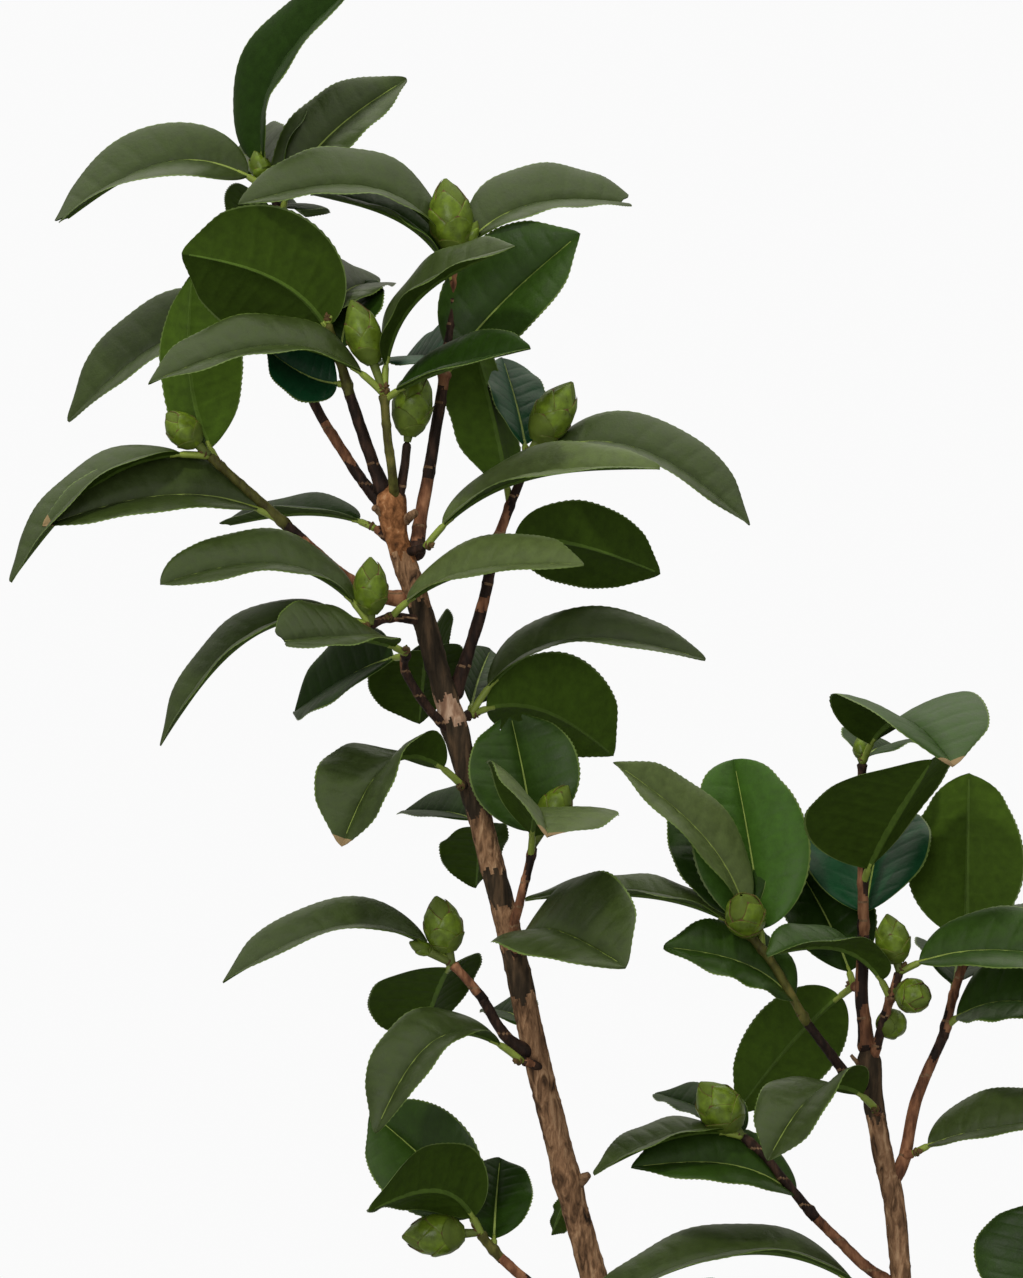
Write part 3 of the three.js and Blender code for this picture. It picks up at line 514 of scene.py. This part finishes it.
def blade_grid():
    """What all blades share: rows 0..1, columns -1..1, and strengths of side veins and of puffs between."""
    c = np.array([-c for c in BLADE_COLUMNS[:0:-1]] + BLADE_COLUMNS)[None, :]
    r = np.linspace(0, 1, BLADE_ROWS)[:, None]
    r = 0.72 * r + 0.14 * (1 - np.cos(math.pi * r))
    across = np.abs(c)
    vein_rows = [np.argmin(np.abs(r[:, 0] - k / VEIN_GAPS)) for k in range(1, SIDE_VEINS + 1)]
    from_vein = np.abs(np.arange(BLADE_ROWS)[:, None] - vein_rows).min(1)[:, None]
    strength = clamp((1 - across) * 2.2) * clamp(r * 8) * clamp((1 - r) * 5)
    strength = strength * ((across > 0.03) & (across < 0.95))
    return r, c, bell(from_vein, 1) * strength, np.sin(np.pi * (r * VEIN_GAPS % 1)) * strength


def blade_places(r, c, note):
    """How far along the blade each point is. Rows bend forward like the veins, and a note may cut the tip."""
    lean = 0.15 * np.sin(np.pi * r) * np.abs(c) ** 1.15
    u = np.clip(r + lean * (1 - r), 0, 1)
    if "notch" in note:
        u = u - r ** 7 * (0.05 + 0.045 * bell(c, 0.4))
    if "eaten" in note:
        bites = sum(depth * bell(c - place, width) for place, width, depth in BITES)
        u = u - r ** 9 * (0.05 + bites + 0.012 * np.sin(c * 23))
    return u


def blade_halves(u, width, note):
    """Half the blade's width at shares u of its length."""
    tip = clamp((u - TIP_START) / TIP_SHARE)
    drawn_out = BLUNT if "blunt" in note else DRAWN_OUT
    share = np.clip(4 * u * (1 - u), 0, None) ** BLADE_ROUNDNESS * (1.08 - 0.16 * u)
    return np.maximum(width / 2 * (share * (1 - drawn_out * tip * tip * (3 - 2 * tip))), 0.25)


def add_stalk(sheaf, frame_at):
    """A leaf's stalk, which runs on under the blade as a rib."""
    end = STALK_SHARE + STALK_LAP
    s = np.linspace(0, end, 9)
    spots, _, normals = frame_at(s)
    sink = 0.3 + 0.4 * clamp((s - STALK_SHARE) / STALK_LAP)[:, None]
    radii = STALK_RADIUS * (1.15 - 0.1 * s / end) * np.where(s > STALK_SHARE, 0.7, 1)
    tube(sheaf, spots - normals * sink, radii, 8, STALK)


def add_leaf(sheaf, note, base, tip, arch, roll, width, twist=0, sway=0):
    """One leaf: its stalk, and a blade with a grooved midrib, side veins and fine teeth."""
    frame_at = leaf_frame(base, tip, arch, roll, twist, sway)
    add_stalk(sheaf, frame_at)

    # places across: the halves differ a little, the rib keeps its width, and the edge has teeth
    r, c, veins, puffs = BLADE_GRID
    across = np.abs(c)
    u = blade_places(r, c, note)
    half = blade_halves(u, width, note)
    wave_phase, wave_count, wave_size = (RNG.uniform(*span) for span in (ANY_TURN, WAVE_COUNTS, WAVE_SIZES))
    x = c * half * (1 + 0.05 * RNG.normal() * np.sign(c))
    middle = len(BLADE_COLUMNS) - 1
    for column, (foot_width, tip_width) in enumerate(RIB_WIDTHS, 1):
        for k in (middle + column, middle - column):
            edge_x = foot_width + (tip_width - foot_width) * u[:, k]
            x[:, k] = np.sign(k - middle) * np.minimum(edge_x, half[:, k] * 0.12 * column)
    tooth = TEETH[np.arange(BLADE_ROWS) % len(TEETH)][:, None] * clamp((u - 0.1) * 8) * clamp((1 - u) * 12)
    x = x + np.sign(c) * np.where(across > 0.99, tooth, 0)

    # height over the flat blade: the fold, the waves of the edge, the veins and the puffs
    fold = math.radians(LEAF_FOLD)
    rise = width / 2 * math.sin(fold) * (half / (width / 2))
    lift = rise * (FOLD_GAIN * (1 - (1 - across) ** 1.7) - 0.5 * (FOLD_GAIN - 1))
    lift = lift + wave_size * across ** 2.5 * np.sin(2 * math.pi * wave_count * u + wave_phase + c)
    lift = lift - VEIN_SINK * veins + PUFF_RISE * puffs

    # the upper and lower faces, which meet at the edges
    spot, side, normal = frame_at(STALK_SHARE + u * (1 - STALK_SHARE))
    level = spot + side * (x * math.cos(fold))[..., None] + normal * lift[..., None]
    groove = bell(x, GROOVE_WIDTH)
    thick = BLADE_THICKNESS / 2 * (1 - 0.75 * across ** 4)
    top = level + normal * (thick - GROOVE_DEPTH * groove * (1 - 0.5 * u))[..., None]
    low = level - normal * (thick + (0.75 * (1 - u) + 0.12) * groove + VEIN_RIDGE * veins)[..., None]
    top[:, 0], top[:, -1] = low[:, 0], low[:, -1]

    # inks by the middle of each cell
    cell_c = (across[:, :-1] + across[:, 1:]) / 2
    cell_u = (u[:-1, :-1] + u[1:, 1:]) / 2
    upper = np.where(cell_c > EDGE_START, EDGE, UPPER[note[0]])
    # a leaf marked lit gets the lighter underside: painted light, where sun shone through it
    under = np.where(cell_c > EDGE_START, EDGE, UNDER_PAINTED_LIGHT if "lit" in note else UNDER)
    upper = np.where((cell_c < 0.03) & (cell_u < 0.93), RIB, upper)
    under = np.where((cell_c < 0.06) & (cell_u < 0.96), UNDER_RIB, under)
    if "tan" in note:
        upper, under = (np.where(r[:-1] > TAN_START, TAN, inks) for inks in (upper, under))
    quads = grid_quads(BLADE_ROWS, c.size)
    sheaf.add(top, quads[:, ::-1], upper)
    sheaf.add(low, quads, under)


BLADE_GRID = blade_grid()


# Flower buds
def add_bud(sheaf, inks, base, tip, length, width):
    """One bud: overlapping scales on a pointed egg, on its stalk. inks: green, edge, shade, stalk."""
    green, edge, shade, stalk_ink = inks
    tip = np.array(tip, float)
    axis = unit(tip - base)
    foot = tip - axis * length
    if (foot - base) @ axis > 0.5:
        reach = np.linspace(0, BUD_STALK_REACH, 8)[:, None]
        tube(sheaf, base + (foot - base) * reach, np.linspace(*BUD_STALK_RADII, 8), 10, stalk_ink)
    side = unit(np.cross(axis, [0.3, 1, 0.2]))
    over = np.cross(axis, side)
    heights, shares = zip(*BUD_OUTLINE)

    def shell(h, turn, out):
        h = clamp(h)
        radius = np.interp(h, heights, shares) * width / 2 * BUD_CORE + out
        around = side * np.cos(turn)[..., None] + over * np.sin(turn)[..., None]
        return foot + axis * (h * length)[..., None] + around * radius[..., None]

    levels, sides, scales, half, rows = SMALL_BUD if width < SMALL_BUD_WIDTH else FULL_BUD
    core = shell(np.linspace(0, 1, levels)[:, None], angles(sides)[None, :], 0)
    sheaf.add(core, grid_quads(levels, sides, wrap=True), shade)

    # a scale's grid: a from side to side, b from foot to tip
    a = np.array([-x for x in half[::-1]] + [0] + half)[None, :]
    b = np.append(np.linspace(0, 0.945, rows), 1)[:, None]
    wide = clamp(1 - b ** 2.6) ** 0.5 * (0.75 + 0.25 * np.sin(np.pi * clamp(b * 1.2)))
    quads = grid_quads(b.size, a.size)
    cell_a = np.abs((a[:, :-1] + a[:, 1:]) / 2)
    cell_b = (b[:-1] + b[1:]) / 2
    rim = (cell_b > 0.95) | ((cell_a > 0.94) & (cell_b > 0.35))
    spin = RNG.uniform(*ANY_TURN)
    for k in range(scales):
        share = k / (scales - 1)
        top = 0.2 + 0.8 * share ** 0.85
        bottom = max(0, top - 0.62)
        spread = math.radians(82 - 14 * share)
        h = bottom + (top - bottom) * (b - 0.06 * b * a * a)
        turn = spin + k * GOLDEN_TURN + a * np.maximum(wide, 0.04) * spread
        out = 0.12 + 0.5 * (1 - share) * (width / 17) + 0.4 * b ** 3 + 0.2 * np.cos(a * SCALE_BULGE)
        outer, inner = shell(h, turn, out), shell(h, turn, out - SCALE_THICKNESS)
        outer[:, 0], outer[:, -1], outer[-1] = inner[:, 0], inner[:, -1], inner[-1]
        sheaf.add(outer, quads, np.where(rim, edge, shade if share < 0.25 else green))
        sheaf.add(inner, quads[:, ::-1], shade)


# Bark
def bark_relief(depth, seed, ring_heights=()):
    """Height of the bark's long flakes and fissures, and of its ring scars, at points on a limb."""
    def relief(p):
        waver = 0.35 * hash_noise(p * 0.06, seed + 9)[:, None]
        flakes = fractal(p * FLAKES + waver, seed)
        ridges = np.abs(hash_noise(p * RIDGES, seed + 5))
        fine = hash_noise(p * GRAIN, seed + 7)
        height = depth * (0.9 * np.tanh(3 * flakes) + 0.6 * (0.4 - ridges) + 0.22 * fine)
        for z, size in ring_heights:
            ripple = 2.2 * hash_noise(p * RIPPLE, seed + int(z))
            height = height + size * bell(p[:, 2] - z + ripple, 0.9)
        return height
    return relief


def stem_inks(name):
    """A stem's inks by height, with ragged bounds. Its dark stretches are partly painted shade."""
    def ink(p):
        z = p[:, 2] + 4 * hash_noise(p * STEM_RAGS, 71)
        inks = np.full(len(p), STEM_TAN)
        for low, high, which in STEM_BARK[name]:
            inks[(z > low) & (z < high)] = which
        return inks
    return ink


def bough_inks(rings, seed, name):
    """A bough's or twig's inks: pale ring scars, and reddish stretches by its table or else by noise. The
    dark rest is partly painted shade.
    """
    def ink(p):
        if name in BOUGH_BARK:
            z = p[:, 2] + 1.5 * hash_noise(p * BOUGH_RAGS, 73)
            inks = np.full(len(p), BOUGH_DARK_AND_SHADE)
            for low, high in BOUGH_BARK[name]:
                inks[(z > low) & (z < high)] = BOUGH_RED
        else:
            # dark patches, partly painted shade, laid by noise
            inks = np.where(hash_noise(p * BOUGH_PATCHES, seed) > -0.12, BOUGH_DARK_AND_SHADE, BOUGH_RED)
        for z, _ in rings:
            inks = np.where(np.abs(p[:, 2] - z) < 0.4, BOUGH_SCAR, inks)
        return inks
    return ink


# Materials
def srgb(*levels):
    """A colour of 0..255 levels as the linear numbers of a shader."""
    c = np.array(levels) / 255
    return tuple(np.where(c <= 0.04045, c / 12.92, ((c + 0.055) / 1.055) ** 2.4)) + (1.0,)


def add_node(tree, kind, values=None):
    """A new shader node, with values on its sockets."""
    node = tree.nodes.new(kind)
    for socket, value in (values or {}).items():
        node.inputs[socket].default_value = value
    return node


def wire(tree, *wires):
    """Links nodes. Each wire is a node, its output, the next node and its input."""
    for giver, output, taker, socket in wires:
        tree.links.new(giver.outputs[output], taker.inputs[socket])


def pattern(tree, scale, stretch, detail, distortion=0):
    """A noise over the object's own coordinates. A stretch below 1 draws it out along Z."""
    place = add_node(tree, "ShaderNodeTexCoord")
    mapping = add_node(tree, "ShaderNodeMapping", {"Scale": (1, 1, stretch)})
    noise = add_node(tree, "ShaderNodeTexNoise",
                     {"Scale": scale, "Detail": detail, "Roughness": 0.55, "Distortion": distortion})
    wire(tree, (place, "Object", mapping, "Vector"), (mapping, "Vector", noise, "Vector"))
    return noise


def material(name, stops, scale, stretch, rough, bump, specular, detail=3, bump_stretch=None, distortion=0):
    """A principled material: colour (by stops) and roughness from one noise, and bump from another.

    rough is the roughness at both ends of the noise. bump is its noise's scale, its depth and its strength.
    """
    m = bpy.data.materials.new(name)
    m.use_nodes = True
    tree = m.node_tree
    shader = tree.nodes["Principled BSDF"]
    shader.inputs["Specular IOR Level"].default_value = specular
    noise = pattern(tree, scale, stretch, detail, distortion)
    ramp = add_node(tree, "ShaderNodeValToRGB")
    elements = ramp.color_ramp.elements
    while len(elements) < len(stops):
        elements.new(0.5)
    for element, (place, colour) in zip(elements, stops):
        element.position = place
        element.color = srgb(*colour)
    span = add_node(tree, "ShaderNodeMapRange", dict(zip(RANGE_SOCKETS, NOISE_SPAN + rough)))
    bump_scale, depth, strength = bump
    grain = pattern(tree, bump_scale, bump_stretch or stretch, 4)
    relief = add_node(tree, "ShaderNodeBump", {"Distance": depth, "Strength": strength})
    wire(tree, (noise, "Fac", ramp, "Fac"), (ramp, "Color", shader, "Base Color"),
         (noise, "Fac", span, "Value"), (span, "Result", shader, "Roughness"),
         (grain, "Fac", relief, "Height"), (relief, "Normal", shader, "Normal"))
    return m


def leaf_tone(name, colour, rough=(0.34, 0.46), specular=0.2, spread=0.07):
    """A leaf's or bud's material: one colour, darker and lighter by its spread."""
    c = np.array(colour)
    stops = [(0.32, c * (1 - spread)), (0.5, c), (0.7, c * (1 + spread))]
    return material(name, stops, 260, 1, rough, (620, 0.00022, 0.6), specular)


TONES = {
    "m": ("leaf_green", (46, 71, 20), 0.26),
    # d: a darker green for leaves that sat in shade, partly their own tone and partly painted shade
    "d": ("leaf_deep_and_painted_shade", (34, 56, 14), 0.1),
    "b": ("leaf_bluish", (20, 66, 38), 0.16),
    "y": ("leaf_fresh", (60, 94, 30), 0.2),
    # g: a greyer green for leaves that showed a grey sheen, partly their own tone and partly painted sheen
    "g": ("leaf_grey_green_and_painted_sheen", (56, 70, 31), 0.3),
    "p": ("leaf_pale", (86, 101, 55), 0.26),
}
UPPER = {key: k for k, key in enumerate(TONES)}
FOLIAGE = [leaf_tone(name, colour, specular=gloss) for name, colour, gloss in TONES.values()]
UNDER, UNDER_PAINTED_LIGHT, RIB, EDGE, TAN, STALK, UNDER_RIB = range(len(FOLIAGE), len(FOLIAGE) + 7)
FOLIAGE += [
    # undersides: dark olive, partly their own colour and partly painted shade; the lighter copy is painted
    # light
    leaf_tone("leaf_under", (55, 75, 21), (0.62, 0.72), 0.06, 0.08),
    leaf_tone("leaf_under_lit", (68, 92, 28), (0.62, 0.72), 0.06, 0.08),
    leaf_tone("leaf_rib", (144, 162, 84), (0.5, 0.6), 0.2),
    leaf_tone("leaf_margin", (92, 114, 48), (0.42, 0.52), 0.4),
    leaf_tone("leaf_tan_tip", (150, 128, 92), (0.6, 0.7), 0.3),
    leaf_tone("leaf_stalk", (140, 158, 66), (0.42, 0.52), 0.4),
    leaf_tone("leaf_under_rib", (80, 105, 38), (0.55, 0.65), 0.15),
]
BUD_GREEN, BUD_EDGE, BUD_SHADE, BUD_STALK, BUD_BROWN = range(5)
BUD_SKINS = [
    leaf_tone("bud_green", (100, 122, 33), (0.26, 0.36), 0.34, 0.18),
    leaf_tone("bud_edge", (90, 70, 38), (0.55, 0.65), 0.3),
    leaf_tone("bud_shade", (92, 110, 36), (0.5, 0.6), 0.3),
    leaf_tone("bud_stalk", (98, 112, 48), (0.5, 0.6), 0.35),
    leaf_tone("bud_brown", (96, 74, 44), (0.6, 0.7), 0.3),
]
BUD_INKS = (BUD_GREEN, BUD_EDGE, BUD_SHADE, BUD_STALK)
AXIL_BUD_INKS = (BUD_BROWN, BUD_SHADE, BUD_BROWN, BUD_BROWN)
OLD_BARK = [
    material("bark_tan",
             [(0.3, (52, 40, 31)), (0.42, (112, 84, 62)), (0.55, (156, 120, 90)), (0.7, (196, 160, 126))],
             360, 0.28, (0.75, 0.9), (900, 0.0009, 1.0), 0.12, 6, 0.35, 0.9),
    # dark bark: partly the bark's own colour and partly painted shade where leaves cast shadows
    material("bark_dark_and_shade", [(0.3, (34, 29, 23)), (0.5, (62, 52, 41)), (0.68, (102, 82, 63))],
             300, 0.15, (0.7, 0.85), (900, 0.0005, 0.7), 0.12, 6, 0.3, 0.3),
    material("bark_knot",
             [(0.3, (64, 42, 28)), (0.45, (130, 86, 54)), (0.6, (172, 118, 78)), (0.72, (204, 160, 120))],
             340, 0.7, (0.7, 0.85), (900, 0.0006, 0.8), 0.12, 6, 0.8, 0.6),
    material("bark_pale", [(0.32, (104, 74, 58)), (0.5, (166, 132, 108)), (0.7, (206, 176, 152))],
             420, 0.25, (0.75, 0.9), (900, 0.0006, 0.8), 0.12, 6, 0.5, 0.6),
]
YOUNG_BARK = [
    material("bark_young", [(0.32, (76, 50, 38)), (0.5, (130, 88, 64)), (0.68, (172, 124, 92))],
             330, 0.3, (0.6, 0.78), (1100, 0.0003, 0.6), 0.15, 5, 0.4),
    material("bark_green", [(0.35, (66, 60, 30)), (0.55, (94, 94, 44)), (0.7, (120, 112, 58))],
             300, 0.4, (0.5, 0.66), (1000, 0.0002, 0.5), 0.2, 4, 0.4),
    material("bark_scar", [(0.35, (92, 68, 50)), (0.6, (150, 120, 92))],
             500, 1, (0.75, 0.9), (900, 0.0004, 0.7), 0.12, 4),
    # dark bark of boughs and twigs: partly its own colour and partly painted shade
    material("bark_shade", [(0.32, (26, 20, 18)), (0.5, (48, 35, 30)), (0.68, (80, 58, 48))],
             330, 0.3, (0.55, 0.7), (1100, 0.0003, 0.6), 0.15, 5, 0.4),
]


# Limbs
def limb_radii(name, curve, count):
    """Radii from foot to tip: a stem tapers fast at first, a bough evenly. A stem also has its knots."""
    foot, tip = LIMBS[name][0]
    t = np.linspace(0, 1, count)
    radii = tip + (foot - tip) * ((1 - t) ** 2 if name in STEMS else 1 - t)
    z = curve.at(t)[:, 2]
    for height, gain, half in KNOTS.get(name, []):
        radii = radii + gain * bell(z - height, half)
    return radii


def rounded(radii, distance, reach, depth):
    """Radii that draw in like a dome within reach of an end, at distances from that end."""
    return radii * np.sqrt(1 - (1 - clamp(distance / reach)) ** 2 * depth)


def scar_heights(curve, start, gap):
    """Heights and sizes of the ring scars along a limb, with uneven gaps."""
    rings, d = [], start
    while d < curve.length - 6:
        rings.append((float(curve.at(d / curve.length)[2]), float(RNG.uniform(0.12, 0.34))))
        d += gap * RNG.uniform(0.6, 1.5)
    return rings


def goes_on(spray):
    """Whether a spray's twig carries on from the tip of its limb."""
    return np.linalg.norm(CURVES[spray["on"]].at(1) - spray["twig"][0]) < 3


CURVES = {name: Curve(line) for name, (_, line) in LIMBS.items()}
CARRIED = {spray["on"] for spray in SPRAYS.values() if goes_on(spray)}


# The trunk: its lobed column and two arms, fused, then smoothed and given the bark's relief
def trunk_column():
    """Rings of points up the trunk, from the middle of its foot to the middle of its top."""
    theta = angles(TRUNK_SIDES)
    heights, radii = zip(*TRUNK_FLARE)
    rings = [np.zeros((TRUNK_SIDES, 3))]
    for z in np.linspace(0, heights[-1], 60):
        lobe = 1 + ROOT_LOBE_DEPTH * np.cos(ROOT_LOBES * theta) * max(0, 1 - z / ROOT_LOBE_HEIGHT)
        r = np.interp(z, heights, radii) * lobe
        shift = np.array(FORK) * min(z / FORK[2], 1)
        x, y = shift[0] + np.cos(theta) * r, shift[1] - np.sin(theta) * r
        rings.append(np.stack([x, y, np.full(TRUNK_SIDES, z)], -1))
    return rings + [np.tile([FORK[0], FORK[1], heights[-1]], (TRUNK_SIDES, 1))]


def fused_mesh(obj):
    """The object's surfaces as one smooth skin. The object itself goes."""
    fuse = obj.modifiers.new("fuse", "REMESH")
    fuse.mode = "VOXEL"
    fuse.voxel_size = TRUNK_VOXEL * MM
    fuse.use_smooth_shade = True
    soften = obj.modifiers.new("soften", "SMOOTH")
    soften.factor, soften.iterations = 0.5, 9
    mesh = bpy.data.meshes.new_from_object(obj.evaluated_get(bpy.context.evaluated_depsgraph_get()))
    bpy.data.objects.remove(obj)
    return mesh


trunk = Sheaf()
column = trunk_column()
trunk.add(np.array(column), grid_quads(len(column), TRUNK_SIDES, wrap=True)[:, ::-1], STEM_TAN)
for (top, foot_r, top_r), stem in zip(TRUNK_ARMS, STEMS):
    in_stem = CURVES[stem].at(0.035)
    arm = Curve([FORK, (np.array(FORK) + np.array(top)) / 2 + [0, 0, -2], top, in_stem])
    t = np.linspace(0, 1, 40)
    tube(trunk, arm.at(t), foot_r + (top_r - ARM_INSET - foot_r) * t ** 1.3, 48, STEM_TAN)
skin = fused_mesh(trunk.piece("trunk_raw", OLD_BARK, ["trunk"], "bark"))
points, normals = np.empty((2, len(skin.vertices) * 3))
skin.vertices.foreach_get("co", points)
skin.vertices.foreach_get("normal", normals)
points, normals = points.reshape(-1, 3) / MM, normals.reshape(-1, 3)
points = points + normals * (bark_relief(TRUNK_RELIEF, 3)(points) * clamp(points[:, 2] / 3))[:, None]
points[:, 2] = np.maximum(points[:, 2], 0)
skin.vertices.foreach_set("co", (points * MM).ravel())
skin.update()
skin.materials.clear()
skin.materials.append(OLD_BARK[STEM_TAN])
trunk_bark = add_object("trunk_bark", skin)
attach(trunk_bark, "root")
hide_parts("trunk")

# Stems and boughs. A bough has a collar at its foot, and an end that no twig carries on is round.
stems, boughs = Sheaf(), Sheaf()
for k, (name, curve) in enumerate(CURVES.items()):
    stem = name in STEMS
    count = int(curve.length / (STEM_STEP if stem else BOUGH_STEP))
    radii = limb_radii(name, curve, count)
    along = np.linspace(0, curve.length, count)
    if not stem:
        radii = radii * (1 + 0.4 * np.exp(-np.maximum(along - 4, 0) / 4.5))
        radii = rounded(radii, along, 4, 0.85)
    if name not in CARRIED:
        radii = rounded(radii, curve.length - along, 8 if stem else 2.5, 0.9)
    rings = scar_heights(curve, *LIMB_SCARS)
    spots = curve.at(np.linspace(0, 1, count))
    if stem:
        tube(stems, spots, radii, STEM_SIDES, stem_inks(name), bark_relief(STEM_RELIEF, 3, rings))
    else:
        relief = bark_relief(BOUGH_RELIEF, 20 + k, rings)
        tube(boughs, spots, radii, BOUGH_SIDES, bough_inks(rings, 80 + k, name), relief)
for base, tip, foot_r, tip_r in STUBS:
    t = np.linspace(0, 1, 14)
    spots = np.array(base) + (np.array(tip) - np.array(base)) * t[:, None]
    tube(stems, spots, foot_r + (tip_r - foot_r) * t, STUB_SIDES, STEM_BROKEN, bark_relief(STUB_RELIEF, 40))
stems.piece("stem_bark", OLD_BARK + [YOUNG_BARK[BOUGH_SCAR]], STEMS, "bark")
boughs.piece("bough_bark", YOUNG_BARK, [name for name in LIMBS if name not in STEMS], "young_bark")

# Sprays: twigs, leaves and buds, each kind joined. A twig is thicker where a leaf grows from it.
twigs, buds = Sheaf(), Sheaf()
leaf_pieces = {piece: (Sheaf(), []) for piece in LEAF_PIECES}
for name, spray in SPRAYS.items():
    curve = Curve(spray["twig"])
    count = max(int(curve.length / TWIG_STEP), 6)
    t = np.linspace(0, 1, count)
    first = LIMBS[spray["on"]][0][1] if goes_on(spray) else 2.0
    radii = first + (1.75 - first) * np.minimum(t * 1.5, 1)
    for _, place, *_ in spray["leaves"]:
        radii = radii + 0.42 * bell((t - place) * curve.length, 1.6)
    radii = rounded(radii, (1 - t) * curve.length, 1.8, 0.8)
    spots = curve.at(t)
    if goes_on(spray):
        spots[0] = spots[0] - unit(spots[1] - spots[0]) * 1.5
    rings = scar_heights(curve, *TWIG_SCARS)
    ink = BOUGH_GREEN if name in GREEN_TWIGS else bough_inks(rings, len(name), name)
    tube(twigs, spots, radii, TWIG_SIDES, ink, bark_relief(TWIG_RELIEF, 60, rings))
    sheaf, nodes = leaf_pieces[spray["piece"]]
    nodes.append(name)
    for note, place, tip, *shape in spray["leaves"]:
        base = curve.at(place)
        add_leaf(sheaf, note, base, tip, *shape)
        toward = unit(np.array(tip, float) - base)
        ahead = unit(curve.at(min(place + 0.05, 1)) - curve.at(max(place - 0.05, 0)))
        lean = unit(toward * 0.5 + ahead)
        add_bud(buds, AXIL_BUD_INKS, base + lean, base + lean * 5, *AXIL_BUD_SIZE)
    for place, *shape in spray.get("buds", []):
        add_bud(buds, BUD_INKS, curve.at(place), *shape)
twigs.piece("twigs", YOUNG_BARK, list(SPRAYS), "young_bark")
buds.piece("flower_buds", BUD_SKINS, [name for name in SPRAYS if "buds" in SPRAYS[name]], "foliage")
for piece, (sheaf, nodes) in leaf_pieces.items():
    sheaf.piece("leaves_" + piece, FOLIAGE, nodes, "foliage")

# Floor
floor = bpy.data.meshes.new("floor")
rim = [(FLOOR_RADIUS * math.cos(a), FLOOR_RADIUS * math.sin(a), 0) for a in angles(FLOOR_SIDES)]
floor.from_pydata(rim, [], [list(range(FLOOR_SIDES))])
floor.materials.append(material("floor_pale", [(0.3, (212, 212, 210)), (0.7, (218, 218, 216))],
                                3, 1, (0.7, 0.8), (40, 0.0005, 0.1), 0.5))
ground = add_object("floor", floor)
ground.visible_diffuse = False

# The world: almost white to the camera, a soft light, and in the gloss a sky that is brightest overhead
world = bpy.data.worlds.new("studio")
bpy.context.scene.world = world
world.use_nodes = True
tree = world.node_tree
tree.nodes.clear()
seen = add_node(tree, "ShaderNodeBackground", {"Color": (0.96, 0.96, 0.96, 1)})
lit = add_node(tree, "ShaderNodeBackground", {"Color": (1.0, 0.98, 0.94, 1), "Strength": WORLD_LIGHT})
sheen = add_node(tree, "ShaderNodeBackground", {"Color": (1.0, 1.0, 0.86, 1)})
place, height = add_node(tree, "ShaderNodeTexCoord"), add_node(tree, "ShaderNodeSeparateXYZ")
rise = add_node(tree, "ShaderNodeMapRange", dict(zip(RANGE_SOCKETS, SKY_GLOSS)))
path, out = add_node(tree, "ShaderNodeLightPath"), add_node(tree, "ShaderNodeOutputWorld")
gloss, mix = (add_node(tree, "ShaderNodeMixShader") for _ in range(2))
wire(tree, (place, "Generated", height, "Vector"), (height, "Z", rise, "Value"),
     (rise, "Result", sheen, "Strength"), (path, "Is Glossy Ray", gloss, "Fac"),
     (lit, "Background", gloss, 1), (sheen, "Background", gloss, 2),
     (path, "Is Camera Ray", mix, "Fac"), (gloss, "Shader", mix, 1), (seen, "Background", mix, 2),
     (mix, "Shader", out, "Surface"))

# Lamps, each with its -Z axis towards the target
TARGET = np.array([VIEW_CENTRE[0], 0, VIEW_CENTRE[1]]) * MM
for name, spot, size, power, colour in LIGHTS:
    lamp = bpy.data.lights.new(name, "AREA")
    lamp.shape, lamp.size, lamp.energy, lamp.color = "DISK", size, power, colour
    holder = add_object(name, lamp)
    back = unit(np.array(spot) - TARGET)
    right = unit(np.cross([0, 0, 1], back))
    up = np.cross(back, right)
    holder.matrix_world = [[*right, 0], [*up, 0], [*back, 0], [*spot, 1]]  # its columns
    holder.visible_glossy = name == "fill"  # of the lamps, only the fill shows in the gloss

# Camera
camera = bpy.data.cameras.new("camera")
camera.sensor_width = SENSOR
camera.lens = SENSOR * EYE_DISTANCE / (PICTURE_HEIGHT * PIXEL_MM)
camera.clip_start, camera.clip_end = 0.05, 30
eye = add_object("camera", camera)
eye.location = (TARGET[0], -EYE_DISTANCE * MM, TARGET[2])
eye.rotation_euler = (math.pi / 2, 0, 0)
bpy.context.scene.camera = eye
bpy.context.scene.view_settings.view_transform = "Standard"
